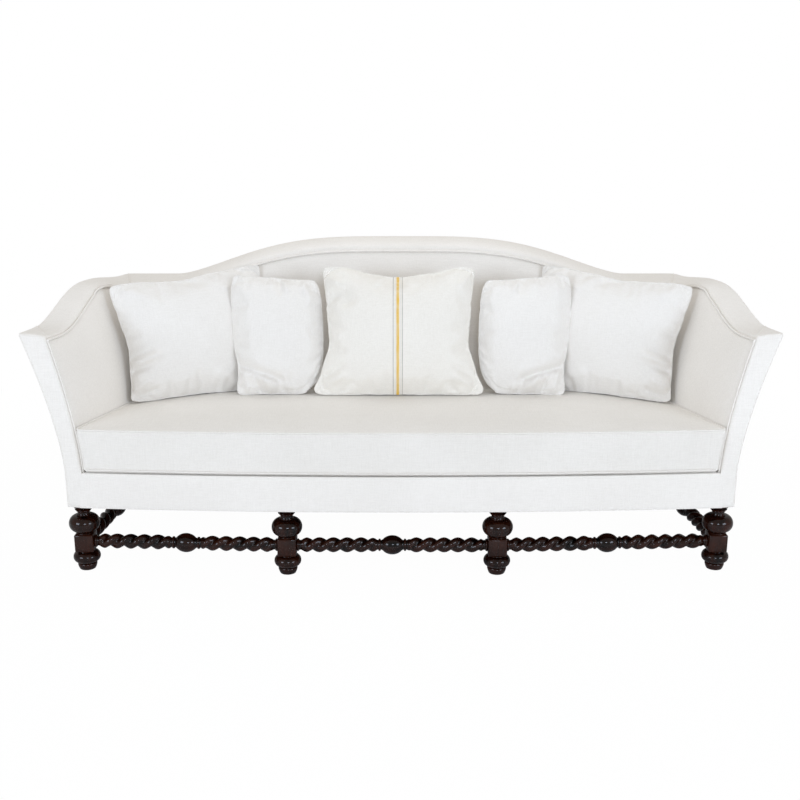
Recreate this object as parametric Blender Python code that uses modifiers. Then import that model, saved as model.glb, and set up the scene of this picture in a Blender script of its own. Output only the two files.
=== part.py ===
"""A long camelback sofa on a turned base, with one bench cushion and five loose pillows.

Metres, +Z up, +X along the sofa, -Y to the front. The origin is on the floor, in the middle of the sofa.
Names that end in share or shares hold plain numbers: parts of a size, exponents or places along a run.
"""

import math

import bmesh
import bpy
from mathutils import Euler, Matrix, Vector
from mathutils.bvhtree import BVHTree

# Gaps between pieces that touch
FIT_GAP = 0.0003
SEAM_GAP = 0.0005
CUT_OVERRUN = 0.002

# Heights above the floor
LEG_HEIGHT = 0.238
RAIL_HEIGHT = 0.103
SEAT_BASE_HEIGHT = 0.125
CUSHION_HEIGHT = 0.158
TACK_RAIL_HEIGHT = 0.055
TOP_RAIL_HEIGHT = 0.065
ARM_TIP_HEIGHT = 0.841
ARM_RISE_HEIGHT = 0.097
ARM_CROWN_HEIGHT = ARM_TIP_HEIGHT + ARM_RISE_HEIGHT
CORNER_FALL_HEIGHT = 0.024
CORNER_HEIGHT = ARM_CROWN_HEIGHT - CORNER_FALL_HEIGHT
BACK_RISE_HEIGHT = 0.144
BACK_CROWN_HEIGHT = CORNER_HEIGHT + BACK_RISE_HEIGHT

# Plan of the walls, measured from the front of the seat at its middle
FRONT_BOW_DEPTH = 0.046
ARM_FRONT_DEPTH = 0.060
INNER_HALF_WIDTH = 1.068
INNER_FLARE_WIDTH = 0.0875
INNER_SPREAD_WIDTH = 0.014
ARM_FOOT_WIDTH = 0.066
OUTER_HALF_WIDTH = INNER_HALF_WIDTH + ARM_FOOT_WIDTH
OUTER_FLARE_WIDTH = 0.115
REAR_INSET_WIDTH = 0.044
REAR_HALF_WIDTH = OUTER_HALF_WIDTH - REAR_INSET_WIDTH
REAR_TAPER_WIDTH = 0.030
BACK_FACE_DEPTH = 0.555
WALL_FOOT_DEPTH = 0.230
REAR_FACE_DEPTH = BACK_FACE_DEPTH + WALL_FOOT_DEPTH
REAR_LEAN_DEPTH = 0.045
INNER_CORNER_RADIUS = 0.240
OUTER_CORNER_RADIUS = 0.0365
SEAT_SPLAY = math.radians(19.0)
TOP_SPLAY = math.radians(14.0)
BACK_RAKE = math.radians(19.0)
FLARE_SHARE = 1.5

# Upholstery
COVER_THICKNESS = 0.005
FRAME_THICKNESS = 0.020
BORDER_THICKNESS = 0.010
FACING_THICKNESS = 0.012
EDGE_RECESS_DEPTH = 0.008
ARM_BORDER_HEIGHT = 0.014
CORNER_BORDER_HEIGHT = 0.004
BACK_BORDER_HEIGHT = 0.036
ARM_RISE_START_SHARE = 0.095
ARM_RISE_END_SHARE = 0.607
ARM_FALL_START_SHARE = 0.662
ARM_FALL_END_SHARE = 0.993
CAMEL_INSET_WIDTH = 0.208
CAMEL_HALF_WIDTH = INNER_HALF_WIDTH - CAMEL_INSET_WIDTH
CAMEL_FOOT_SHARE = 1.5
CAMEL_HEAD_SHARE = 4.2
CORNER_SHARE = 0.04
POST_SHARE = 0.10
TURN_INSET_WIDTH = 0.268
TURN_OFFSET = INNER_HALF_WIDTH - TURN_INSET_WIDTH
TURN_INSET_DEPTH = 0.155
TURN_DEPTH = BACK_FACE_DEPTH - TURN_INSET_DEPTH

# Seat
WEBBING_THICKNESS = 0.002
WEBBING_WIDTH = 0.065
WEBBING_BEARING_WIDTH = 0.020
DUST_COVER_THICKNESS = 0.0012
DUST_COVER_INSET_WIDTH = 0.010
CUSHION_OVERHANG_DEPTH = 0.010
CUSHION_SIDE_GAP = 0.0008
CUSHION_CROWN_HEIGHT = 0.014
CUSHION_DRAW_DEPTH = 0.006
CUSHION_EDGE_RADIUS = 0.012
CROSS_RAIL_THICKNESS = 0.044
CROSS_RAIL_DROP_HEIGHT = 0.004
CORNER_BLOCK_WIDTH = 0.042
CORNER_BLOCK_CHAMFER_WIDTH = 0.013
UPRIGHT_WIDTH = 0.050
FRONT_POST_DEPTH = 0.050

# Legs
INNER_LEG_OFFSET = 0.360
INNER_LEG_SHIFT_WIDTH = -0.030
LEG_INSET_DEPTH = 0.047
LEG_SIDE_INSET_WIDTH = 0.039
REAR_LEG_INSET_DEPTH = 0.057
FOOT_BASE_RADIUS = 0.030
FOOT_RADIUS = 0.038
FOOT_HEIGHT = 0.033
BUN_RADIUS = 0.050
BUN_HEIGHT = 0.038
BLOCK_WIDTH = 0.060
BLOCK_HEIGHT = 0.060
BLOCK_CHAMFER_WIDTH = 0.007
BALL_RADIUS = 0.0565
BALL_HEIGHT = 0.066
NECK_RADIUS = 0.0295
COLLAR_RADIUS = 0.033
GROOVE_RADIUS = 0.026
TENON_RADIUS = 0.008
TENON_LENGTH = 0.045
LEG_SIDES = 8

# Stretchers
TWIST_RADIUS = 0.0250
TWIST_HOLLOW_DEPTH = 0.0075
TWIST_PITCH_LENGTH = 0.0475
MIDDLE_BALL_RADIUS = 0.032
END_RING_RADIUS = 0.023
COVE_RADIUS = 0.0145
RING_LENGTH = 0.008
STRETCHER_TENON_RADIUS = 0.010
STRETCHER_TENON_LENGTH = 0.016
TWIST_SIDES = 6
STEPS_PER_PITCH = 3

# Pillows: width, height and thickness, then how far their edges draw in, their place and their turn
MIDDLE_PILLOW_SIZE = (0.592, 0.475, 0.170)
NARROW_PILLOW_SIZE = (0.325, 0.435, 0.135)
CORNER_PILLOW_SIZE = (0.548, 0.452, 0.150)
MIDDLE_PILLOW_DRAW_WIDTH = 0.044
SIDE_PILLOW_DRAW_WIDTH = 0.018
PILLOW_FOOT_SHARE = 0.3
PILLOW_GAP = 0.003
MIDDLE_PILLOW_OFFSET = -0.008
CORNER_PILLOW_INSET_WIDTH = 0.306
CORNER_PILLOW_OFFSET = INNER_HALF_WIDTH - CORNER_PILLOW_INSET_WIDTH
NARROW_PILLOW_INSET_WIDTH = 0.308
NARROW_PILLOW_OFFSET = CORNER_PILLOW_OFFSET - NARROW_PILLOW_INSET_WIDTH
CORNER_PILLOW_TURN = math.radians(24.0)
CORNER_PILLOW_RISE_HEIGHT = 0.022
CORNER_PILLOW_SPLAY_SHARE = 0.05
MIDDLE_TAPER_SHARE = 0.05
PILLOW_TRAVEL_LENGTH = 0.60
PILLOW_FULLNESS_SHARE = 0.62

# Heights and places that follow from the sizes above
FRAME_BOTTOM = LEG_HEIGHT + FIT_GAP
RAIL_TOP = LEG_HEIGHT + RAIL_HEIGHT
DECK_TOP = LEG_HEIGHT + SEAT_BASE_HEIGHT
SEAT_TOP = DECK_TOP + CUSHION_HEIGHT
FRAME_BACK = COVER_THICKNESS + SEAM_GAP
FRAME_FRONT = FRAME_BACK + FRAME_THICKNESS
PAD_BACK = FRAME_FRONT + SEAM_GAP
REAR_RISE = BACK_CROWN_HEIGHT - LEG_HEIGHT
REAR_EDGE = REAR_FACE_DEPTH + REAR_LEAN_DEPTH * (REAR_RISE - BORDER_THICKNESS - SEAM_GAP) / REAR_RISE
MIDDLE_DEPTH = (REAR_EDGE - CUSHION_OVERHANG_DEPTH) / 2
STRETCHER_HEIGHT = FOOT_HEIGHT + BUN_HEIGHT + BLOCK_HEIGHT / 2

# Stations along a wall: the arm is 0 to 1, the corner 1 to 2, the back 2 to 3
FRONT_POST_SHARE = FRONT_POST_DEPTH / (TURN_DEPTH - ARM_FRONT_DEPTH)
POST_START_SHARE = 1.5 - POST_SHARE
POST_END_SHARE = 1.5 + POST_SHARE
UPRIGHT_START_SHARE = 3.0 - (INNER_LEG_OFFSET + UPRIGHT_WIDTH / 2) / TURN_OFFSET
UPRIGHT_END_SHARE = 3.0 - (INNER_LEG_OFFSET - UPRIGHT_WIDTH / 2) / TURN_OFFSET
ARM_STATION_SHARES = (0.0, FRONT_POST_SHARE, 0.33, 0.55, 0.8, 1.05)
SEAM_SHARE = 0.0015
CORNER_STATION_SHARES = (1.24, POST_START_SHARE, 1.5 - CORNER_SHARE, 1.5 - SEAM_SHARE, 1.5 + SEAM_SHARE,
                         1.5 + CORNER_SHARE, POST_END_SHARE, 1.8, 2.0)
BACK_STATION_SHARES = (2.09, 2.18, 2.28, 2.39, UPRIGHT_START_SHARE, UPRIGHT_END_SHARE, 2.72, 3.0)
STATIONS = ARM_STATION_SHARES + CORNER_STATION_SHARES + BACK_STATION_SHARES
BORDER_PLACE_SHARES = (0.0, 0.12, 0.3, 0.55, 0.8, 1.0)

LEVELS = ("bottom", "rail_top", "deck", "tack_top", "seat", "middle", "top_rail", "under_top")


def clear_scene():
    for old in list(bpy.data.objects):
        bpy.data.objects.remove(old, do_unlink=True)


clear_scene()
sofa = bpy.data.collections.new("sofa")
cutters = bpy.data.collections.new("cutters")
bpy.context.scene.collection.children.link(sofa)
bpy.context.scene.collection.children.link(cutters)


def finish(name, colour, roughness, metallic=0.0):
    """A plain Principled material."""
    material = bpy.data.materials.new(name)
    material.use_nodes = True
    shader = material.node_tree.nodes["Principled BSDF"]
    shader.inputs["Base Color"].default_value = (*colour, 1.0)
    shader.inputs["Roughness"].default_value = roughness
    shader.inputs["Metallic"].default_value = metallic
    return material


linen = finish("white_linen", (0.80, 0.78, 0.74), 0.90)
ivory = finish("ivory_linen", (0.74, 0.68, 0.57), 0.90)
dark_wood = finish("dark_polished_wood", (0.045, 0.022, 0.014), 0.28)
frame_wood = finish("bare_beech", (0.55, 0.40, 0.25), 0.65)
jute = finish("jute_webbing", (0.40, 0.30, 0.18), 0.95)
black_cloth = finish("black_cambric", (0.03, 0.03, 0.03), 0.95)


def add_object(name, shape, material, smooth=True):
    """Makes the bmesh an object of the sofa, with its faces pointing out."""
    bmesh.ops.recalc_face_normals(shape, faces=shape.faces)
    if shape.calc_volume(signed=True) < 0.0:
        bmesh.ops.reverse_faces(shape, faces=shape.faces)
    mesh = bpy.data.meshes.new(name)
    shape.to_mesh(mesh)
    shape.free()
    mesh.materials.append(material)
    if smooth:
        mesh.shade_smooth()
        mesh.set_sharp_from_angle(angle=math.radians(40.0))
    made = bpy.data.objects.new(name, mesh)
    sofa.objects.link(made)
    return made


def mirror_half(half):
    """Completes a piece whose half is open at X = 0."""
    mirror = half.modifiers.new("mirror", "MIRROR")
    mirror.merge_threshold = 0.0001
    mirror.use_clip = True


def ease(amount):
    """A smooth step from 0 to 1."""
    held = min(max(amount, 0.0), 1.0)
    return held * held * (3.0 - 2.0 * held)


def mix(first, second, amount):
    return first + (second - first) * amount


def bow(x):
    """How far the seat's front edge falls back at x."""
    return FRONT_BOW_DEPTH * (x / OUTER_HALF_WIDTH) ** 2


# The walls: two arms and the back, between an inner and an outer surface

def flare_at(height):
    rise = max(height - DECK_TOP, 0.0) / (ARM_TIP_HEIGHT - DECK_TOP)
    return rise ** FLARE_SHARE


def back_face_at(height):
    return BACK_FACE_DEPTH + max(height - SEAT_TOP, 0.0) * math.tan(BACK_RAKE)


def bent_line(start, corner, radius):
    """A plan line from the arm's front round a corner and along the back, as its parts."""
    along = (corner - start).normalized()
    turn = math.atan2(along.y, -along.x)
    tangent = radius * math.tan(turn / 2)
    inward = Vector((-along.y, along.x))
    bend_start = corner - along * tangent
    return start, along, inward, turn, bend_start, corner - Vector((tangent, 0.0)), radius


def meet(line, inset, origin, direction):
    """Where a plan ray meets a bent line, or the line at an inset behind it."""
    start, along, inward, turn, bend_start, bend_end, radius = line
    edge = start + inward * inset
    slant = inward.dot(direction)
    if abs(slant) > FIT_GAP:
        point = origin + direction * (inward.dot(edge - origin) / slant)
        if (point - bend_start).dot(along) <= 0.0 and (point - origin).dot(direction) > 0.0:
            return point
    if direction.y > FIT_GAP:
        point = origin + direction * ((bend_end.y - inset - origin.y) / direction.y)
        if point.x <= bend_end.x:
            return point
    centre = bend_start + inward * radius
    offset = origin - centre
    half = offset.dot(direction)
    root = half * half - offset.length_squared + (radius - inset) ** 2
    return origin + direction * (math.sqrt(max(root, 0.0)) - half)


def inner_line(height):
    """The inner surface in plan: straight arm, rounded corner, straight back."""
    spread = INNER_SPREAD_WIDTH * max(DECK_TOP - height, 0.0) / SEAT_BASE_HEIGHT
    half_width = INNER_HALF_WIDTH + spread + INNER_FLARE_WIDTH * flare_at(height)
    start = Vector((half_width, ARM_FRONT_DEPTH))
    amount = ease((height - SEAT_TOP) / (ARM_CROWN_HEIGHT - SEAT_TOP))
    splay = mix(SEAT_SPLAY, TOP_SPLAY, amount)
    back = back_face_at(height)
    corner = Vector((half_width - (back - ARM_FRONT_DEPTH) * math.tan(splay), back))
    return bent_line(start, corner, INNER_CORNER_RADIUS)


def outer_line(height):
    """The outer surface in plan: straight arm, tight corner, straight back."""
    start = Vector((OUTER_HALF_WIDTH + OUTER_FLARE_WIDTH * flare_at(height), ARM_FRONT_DEPTH))
    rise = (height - LEG_HEIGHT) / REAR_RISE
    corner = Vector((REAR_HALF_WIDTH - REAR_TAPER_WIDTH * rise, REAR_FACE_DEPTH + REAR_LEAN_DEPTH * rise))
    return bent_line(start, corner, OUTER_CORNER_RADIUS)


def inner_point(station, height):
    line = inner_line(height)
    if station <= 1.0:
        depth = mix(ARM_FRONT_DEPTH, TURN_DEPTH, station)
        return meet(line, 0.0, Vector((0.0, depth)), Vector((1.0, 0.0)))
    if station < 2.0:
        angle = math.pi / 2 * (station - 1.0)
        direction = Vector((math.cos(angle), math.sin(angle)))
        return meet(line, 0.0, Vector((TURN_OFFSET, TURN_DEPTH)), direction)
    return meet(line, 0.0, Vector((TURN_OFFSET * (3.0 - station), 0.0)), Vector((0.0, 1.0)))


def outer_point(station, height):
    line = outer_line(height)
    start, along, inward, turn, bend_start, bend_end, radius = line
    if station <= 1.0:
        depth = mix(ARM_FRONT_DEPTH, TURN_DEPTH, station)
        return meet(line, 0.0, Vector((0.0, depth)), Vector((1.0, 0.0)))
    if station < 1.5 - CORNER_SHARE:
        amount = (station - 1.0) / (0.5 - CORNER_SHARE)
        return outer_point(1.0, height).lerp(bend_start, amount)
    if station <= 1.5 + CORNER_SHARE:
        angle = turn * (station - 1.5 + CORNER_SHARE) / (2.0 * CORNER_SHARE)
        return bend_start + inward * radius + Matrix.Rotation(angle, 2) @ -inward * radius
    if station < 2.0:
        amount = (station - 1.5 - CORNER_SHARE) / (0.5 - CORNER_SHARE)
        return Vector((mix(bend_end.x, TURN_OFFSET, amount), bend_end.y))
    return Vector((TURN_OFFSET * (3.0 - station), bend_end.y))


def frame_point(station, height, inset):
    """A point at an inset behind the outer surface, on the way in from the outer point."""
    inner = inner_point(station, height)
    outer = outer_point(station, height)
    return meet(outer_line(height), inset, inner, (outer - inner).normalized())


def crown_height(station):
    """The top line of the walls: a rising arm, a falling corner, a camel back."""
    if station <= 1.5:
        depth = outer_point(station, CORNER_HEIGHT).y
        share = (depth - ARM_FRONT_DEPTH) / (REAR_FACE_DEPTH - ARM_FRONT_DEPTH)
        rise = (share - ARM_RISE_START_SHARE) / (ARM_RISE_END_SHARE - ARM_RISE_START_SHARE)
        fall = (share - ARM_FALL_START_SHARE) / (ARM_FALL_END_SHARE - ARM_FALL_START_SHARE)
        top = mix(ARM_TIP_HEIGHT, ARM_CROWN_HEIGHT, ease(rise))
        return mix(top, CORNER_HEIGHT, ease(fall))
    x = outer_point(station, CORNER_HEIGHT).x
    amount = max(1.0 - x / CAMEL_HALF_WIDTH, 0.0)
    rise = 1.0 - (1.0 - amount ** CAMEL_FOOT_SHARE) ** CAMEL_HEAD_SHARE
    return mix(CORNER_HEIGHT, BACK_CROWN_HEIGHT, rise)


def border_rise(station):
    if station <= 1.5:
        return mix(ARM_BORDER_HEIGHT, CORNER_BORDER_HEIGHT, ease(2.0 * (station - 1.0)))
    return mix(CORNER_BORDER_HEIGHT, BACK_BORDER_HEIGHT, ease(2.0 * (station - 1.5)))


def top_height(station, place):
    """The top of the border at a place from its inner edge, 0, to its outer edge, 1: a rounded line
    drawn as chords, so that what lies below it has the same corners."""
    shares = BORDER_PLACE_SHARES
    held = min(max(place, 0.0), 1.0)
    index = max(step for step in range(len(shares) - 1) if shares[step] <= held)
    falls = [1.0 - math.sqrt(1.0 - (1.0 - share) ** 2) for share in shares[index:index + 2]]
    amount = (held - shares[index]) / (shares[index + 1] - shares[index])
    return crown_height(station) - border_rise(station) * mix(falls[0], falls[1], amount)


TOP_LEVELS = ("under_top", "border_low", "border_top")


def level_height(level, station, place):
    """The height of a named level at a station, at a place through the wall."""
    under_top = top_height(station, place) - BORDER_THICKNESS - SEAM_GAP
    top_rail = crown_height(station) - BORDER_THICKNESS - TOP_RAIL_HEIGHT
    heights = {
        "bottom": FRAME_BOTTOM,
        "rail_top": RAIL_TOP,
        "deck": DECK_TOP + SEAM_GAP,
        "tack_top": DECK_TOP + TACK_RAIL_HEIGHT,
        "seat": SEAT_TOP,
        "middle": (SEAT_TOP + top_rail) / 2,
        "top_rail": top_rail,
        "under_top": under_top,
        "border_low": under_top + SEAM_GAP,
        "border_top": under_top + SEAM_GAP + BORDER_THICKNESS,
    }
    return heights[level]


def section_ends(station, level):
    """The plan points where a section of the wall starts and ends at a level."""
    if level in TOP_LEVELS:
        inner = inner_point(station, level_height("under_top", station, 0.0))
        outer = outer_point(station, level_height("under_top", station, 1.0))
        at_edge = 1.0
    else:
        height = level_height(level, station, 1.0)
        inner = inner_point(station, height)
        outer = outer_point(station, height)
        at_edge = EDGE_SHARES.get(level, 0.0)
    if station <= 0.0:
        at_edge = 1.0
    return inner, outer, inner + (outer - inner).normalized() * (EDGE_RECESS_DEPTH * at_edge)


EDGE_SHARES = {"top_rail": 0.35}


def wall_point(layer, station, level, side, shift=0.0):
    """A point of the wall lattice, in the sofa's own frame. A layer is "inner", ("share", part of
    the way through the wall) or ("inset", length from the outer surface). A shift moves it forward."""
    inner, outer, edge = section_ends(station, level)
    if layer == "inner":
        flat = edge
    elif layer[0] == "share":
        flat = edge.lerp(outer, layer[1])
    else:
        height = level_height(level, station, 1.0)
        flat = meet(outer_line(height), layer[1], inner, (outer - inner).normalized())
    place = (flat - edge).length / (outer - edge).length
    height = level_height(level, station, place)
    return Vector((side * flat.x, flat.y - shift - MIDDLE_DEPTH, height))


def loft_sections(sections, keys, close_ends=(True, True), strips=True):
    """Joins closed sections of like counts. Each four-sided face is cut from its lower key at the
    first section to its higher key at the next, so that touching pieces have the same facets.
    An end is closed with strips between the two halves of its section, or with one flat face."""
    shape = bmesh.new()
    rings = [[shape.verts.new(point) for point in section] for section in sections]
    count = len(sections[0])
    for first, second in zip(rings, rings[1:]):
        for index in range(count):
            after = (index + 1) % count
            a, b, c, d = first[index], first[after], second[after], second[index]
            if keys[after] > keys[index]:
                shape.faces.new((a, b, c))
                shape.faces.new((a, c, d))
            else:
                shape.faces.new((a, b, d))
                shape.faces.new((b, c, d))
    for ring, closed in zip((rings[0], rings[-1]), close_ends):
        if closed and not strips:
            shape.faces.new(ring)
        elif closed:
            for low in range(count // 2 - 1):
                high = count - 1 - low
                shape.faces.new((ring[low], ring[low + 1], ring[high - 1]))
                shape.faces.new((ring[low], ring[high - 1], ring[high]))
    return shape


def wall_block(name, material, stations, levels, front, back, side=1.0, mirrored=False):
    """A block of the wall between two layers, over some stations and levels."""
    order = {level: index for index, level in enumerate(LEVELS)}
    loop = [(front, level) for level in levels]
    loop += [(back, level) for level in reversed(levels)]
    keys = [(order[level], 0 if layer == front else 1) for layer, level in loop]
    sections = [
        [wall_point(layer, station, level, side) for layer, level in loop]
        for station in stations
    ]
    shape = loft_sections(sections, keys, (True, not mirrored))
    made = add_object(name, shape, material)
    if mirrored:
        mirror_half(made)
    return made


def between(first, last):
    """The wall stations from first to last, with both ends."""
    inside = [station for station in STATIONS if first < station < last]
    return [first] + inside + [last]


def levels_between(lowest, highest):
    return LEVELS[LEVELS.index(lowest):LEVELS.index(highest) + 1]


FRAME_LAYERS = (("inset", FRAME_FRONT), ("inset", FRAME_BACK))
SIDES = (("left", -1.0), ("right", 1.0))
BACK_JOINT_SHARE = POST_END_SHARE + SEAM_SHARE
ARM_JOINT_SHARE = POST_START_SHARE - SEAM_SHARE


def build_wall_frame():
    """The hardwood frame inside the arms and the back."""
    front, back = FRAME_LAYERS
    arm_start = FRONT_POST_SHARE + SEAM_SHARE
    for word, side in SIDES:
        wall_block(f"front_post_{word}", frame_wood, (0.0, FRONT_POST_SHARE),
                   levels_between("bottom", "top_rail"), front, back, side)
        wall_block(f"side_rail_{word}", frame_wood, between(arm_start, ARM_JOINT_SHARE),
                   ("bottom", "rail_top"), front, back, side)
        wall_block(f"arm_tack_rail_{word}", frame_wood, between(arm_start, ARM_JOINT_SHARE),
                   ("deck", "tack_top"), front, back, side)
        top_rail(f"arm_top_rail_{word}", between(0.0, ARM_JOINT_SHARE), side)
        wall_block(f"corner_post_{word}", frame_wood, between(POST_START_SHARE, POST_END_SHARE),
                   LEVELS, front, back, side)
    back_run = between(BACK_JOINT_SHARE, 3.0)
    wall_block("rear_rail", frame_wood, back_run, ("bottom", "rail_top"), front, back, mirrored=True)
    wall_block("back_tack_rail", frame_wood, back_run, ("deck", "tack_top"), front, back, mirrored=True)
    top_rail("back_top_rail", back_run, 1.0, mirrored=True)


def top_rail(name, stations, side, mirrored=False):
    """A top rail, cut off SEAM_GAP above the posts that carry it."""
    front, back = FRAME_LAYERS
    rail = wall_block(name, frame_wood, stations, ("top_rail", "under_top"), front, back, side, mirrored)
    corners = 4
    for vertex in rail.data.vertices:
        if vertex.index % corners in (0, corners - 1):
            vertex.co.z += SEAM_GAP
    return rail


def build_uprights():
    """Two uprights carry the middle of the back: from the tack rail to the top rail."""
    front, back = FRAME_LAYERS
    for word, side in SIDES:
        post = wall_block(f"back_upright_{word}", frame_wood, (UPRIGHT_START_SHARE, UPRIGHT_END_SHARE),
                          levels_between("tack_top", "top_rail"), front, back, side)
        for vertex in post.data.vertices:
            if vertex.co.z < SEAT_TOP:
                vertex.co.z += SEAM_GAP


def build_pads():
    """The stuffed inside faces of the arms and the back. They meet in the corners."""
    back = ("inset", PAD_BACK)
    levels = levels_between("deck", "under_top")
    for word, side in SIDES:
        wall_block(f"inside_arm_pad_{word}", linen, between(0.0, 1.5 - SEAM_SHARE), levels,
                   "inner", back, side)
    wall_block("inside_back_pad", linen, between(1.5 + SEAM_SHARE, 3.0), levels, "inner", back,
               mirrored=True)


def build_outside_covers():
    """Cloth over board, closing the arms and the back from outside."""
    front = ("inset", COVER_THICKNESS)
    back = ("inset", 0.0)
    for word, side in SIDES:
        wall_block(f"outside_arm_cover_{word}", linen, between(0.0, 1.5 - SEAM_SHARE), LEVELS,
                   front, back, side)
    wall_block("outside_back_cover", linen, between(1.5 + SEAM_SHARE, 3.0), LEVELS, front, back,
               mirrored=True)


def build_facings():
    """The tapered panel on the front of each arm."""
    for word, side in SIDES:
        loop = [("inner", level) for level in LEVELS]
        loop += [(("share", place), "under_top") for place in BORDER_PLACE_SHARES[1:]]
        loop += [(("share", 1.0), level) for level in reversed(LEVELS[:-1])]
        keys = list(range(len(loop)))
        sections = [
            [wall_point(layer, 0.0, level, side, shift) for layer, level in loop]
            for shift in (SEAM_GAP, SEAM_GAP + FACING_THICKNESS)
        ]
        add_object(f"arm_facing_{word}", loft_sections(sections, keys, strips=False), linen)


def border_sections(stations, side, reach_front):
    """Sections of the border: its underside from the inner edge out, then its top back in."""
    places = [("share", place) for place in BORDER_PLACE_SHARES]
    loop = [(place, "border_low") for place in places]
    loop += [(place, "border_top") for place in reversed(places)]
    keys = [place[1] for place, level in loop]
    sections = []
    if reach_front:
        shift = SEAM_GAP + FACING_THICKNESS
        sections.append([wall_point(layer, 0.0, level, side, shift) for layer, level in loop])
    for station in stations:
        sections.append([wall_point(layer, station, level, side) for layer, level in loop])
    return sections, keys


def build_borders():
    """The padded strip that rounds over the top of the arms and the back."""
    for word, side in SIDES:
        sections, keys = border_sections(between(0.0, 1.5 - SEAM_SHARE), side, True)
        add_object(f"arm_border_{word}", loft_sections(sections, keys), linen)
    sections, keys = border_sections(between(1.5 + SEAM_SHARE, 3.0), 1.0, False)
    mirror_half(add_object("back_border", loft_sections(sections, keys, (True, False)), linen))


# The seat base

def seat_point(x, depth, height):
    """A point of the seat, with its depth measured from the bowed front."""
    return Vector((x, bow(x) + depth - MIDDLE_DEPTH, height))


def plan_prism(outline, low, high, top_outline=None):
    """A closed slab from an outline in plan."""
    shape = bmesh.new()
    lower = [shape.verts.new((x, y, low)) for x, y in outline]
    upper = [shape.verts.new((x, y, high)) for x, y in top_outline or outline]
    count = len(outline)
    for index in range(count):
        after = (index + 1) % count
        shape.faces.new((lower[index], lower[after], upper[after], upper[index]))
    shape.faces.new(list(reversed(lower)))
    shape.faces.new(upper)
    return shape


FRONT_STEPS = 10


def front_edge(half_width, depth):
    """Points along the bowed front of the seat, from left to right, at a depth behind it."""
    places = [half_width * (2.0 * step / FRONT_STEPS - 1.0) for step in range(FRONT_STEPS + 1)]
    return [(x, bow(x) + depth - MIDDLE_DEPTH) for x in places]


def facing_edge(height):
    """The inner edge of the arm facings at a height below the cushion."""
    return inner_point(0.0, height).x + EDGE_RECESS_DEPTH - SEAM_GAP


def both_sides(points):
    """A run of plan points up the right side, and back down the left side."""
    right = [(point.x, point.y - MIDDLE_DEPTH) for point in points]
    return right + [(-x, y) for x, y in reversed(right)]


def build_seat_base():
    """Rails across, corner blocks, webbing, the padded deck and the cloth below."""
    build_front_rail()
    low_edge = front_edge(facing_edge(FRAME_BOTTOM), 0.0)
    low_edge += reversed(front_edge(facing_edge(FRAME_BOTTOM), COVER_THICKNESS))
    high_edge = front_edge(facing_edge(DECK_TOP), 0.0)
    high_edge += reversed(front_edge(facing_edge(DECK_TOP), COVER_THICKNESS))
    add_object("front_rail_cover", plan_prism(low_edge, FRAME_BOTTOM, DECK_TOP, high_edge), linen)
    for word, side in SIDES:
        build_cross_rail(f"cross_rail_{word}", side * INNER_LEG_OFFSET + INNER_LEG_SHIFT_WIDTH)
    for row, word, place in leg_places():
        if abs(place.x) > INNER_LEG_OFFSET * 1.5:
            build_corner_block(f"{row}_corner_block_{word}", place)
    build_webbing()
    build_deck()
    build_dust_cover()


def build_front_rail():
    """The bowed front rail, with ends that reach behind the arm facings to the posts."""
    half_width = facing_edge(DECK_TOP)
    notch = ARM_FRONT_DEPTH + SEAM_GAP
    far = bow(half_width) + FRAME_FRONT
    gap = Vector((-SEAM_GAP, 0.0))
    near_share, far_share = ((y - ARM_FRONT_DEPTH) / (TURN_DEPTH - ARM_FRONT_DEPTH) for y in (notch, far))
    near_end = frame_point(near_share, FRAME_BOTTOM, FRAME_FRONT) + gap
    far_end = frame_point(far_share, FRAME_BOTTOM, FRAME_FRONT) + gap
    ends = both_sides([Vector((half_width, notch)), near_end, far_end])
    right, left = ends[:3], ends[3:]
    back = list(reversed(front_edge(half_width, FRAME_FRONT)))[1:-1]
    outline = front_edge(half_width, FRAME_BACK) + right + back + left
    add_object("front_rail", plan_prism(outline, FRAME_BOTTOM, RAIL_TOP), frame_wood)


def leg_places():
    """The row, the name and the place of each leg."""
    places = []
    outer_x = outer_point(FRONT_POST_SHARE, LEG_HEIGHT).x - LEG_SIDE_INSET_WIDTH
    rear_x = REAR_HALF_WIDTH - REAR_LEG_INSET_DEPTH
    rear_y = REAR_FACE_DEPTH - REAR_LEG_INSET_DEPTH
    outer = ("", outer_x, rear_x, 0.0)
    inner = ("inner_", INNER_LEG_OFFSET, INNER_LEG_OFFSET, INNER_LEG_SHIFT_WIDTH)
    for prefix, front, rear, shift in (outer, inner):
        for word, side in SIDES:
            x = side * front + shift
            near = Vector((x, bow(x) + LEG_INSET_DEPTH - MIDDLE_DEPTH, 0.0))
            places.append(("front", prefix + word, near))
            places.append(("rear", prefix + word, Vector((side * rear + shift, rear_y - MIDDLE_DEPTH, 0.0))))
    return places


def cut_hole(target, place, direction, radius, length):
    """Bores a round hole of a length into the target, along a direction."""
    cutter_mesh = bpy.data.meshes.new(f"{target.name}_cutter")
    shape = bmesh.new()
    reach = length + CUT_OVERRUN
    bmesh.ops.create_cone(shape, cap_ends=True, segments=8, radius1=radius, radius2=radius, depth=reach)
    turn = Vector((0.0, 0.0, 1.0)).rotation_difference(direction).to_matrix().to_4x4()
    middle = place + direction * ((length - CUT_OVERRUN) / 2)
    shape.transform(Matrix.Translation(middle) @ turn)
    shape.to_mesh(cutter_mesh)
    shape.free()
    cutter = bpy.data.objects.new(f"{target.name}_cutter", cutter_mesh)
    cutter.hide_render = True
    cutter.display_type = "WIRE"
    cutters.objects.link(cutter)
    bore = target.modifiers.new("bore", "BOOLEAN")
    bore.operation = "DIFFERENCE"
    bore.object = cutter


TENON_HOLE_RADIUS = TENON_RADIUS / math.cos(math.pi / LEG_SIDES) + FIT_GAP
UP = Vector((0.0, 0.0, 1.0))


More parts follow.
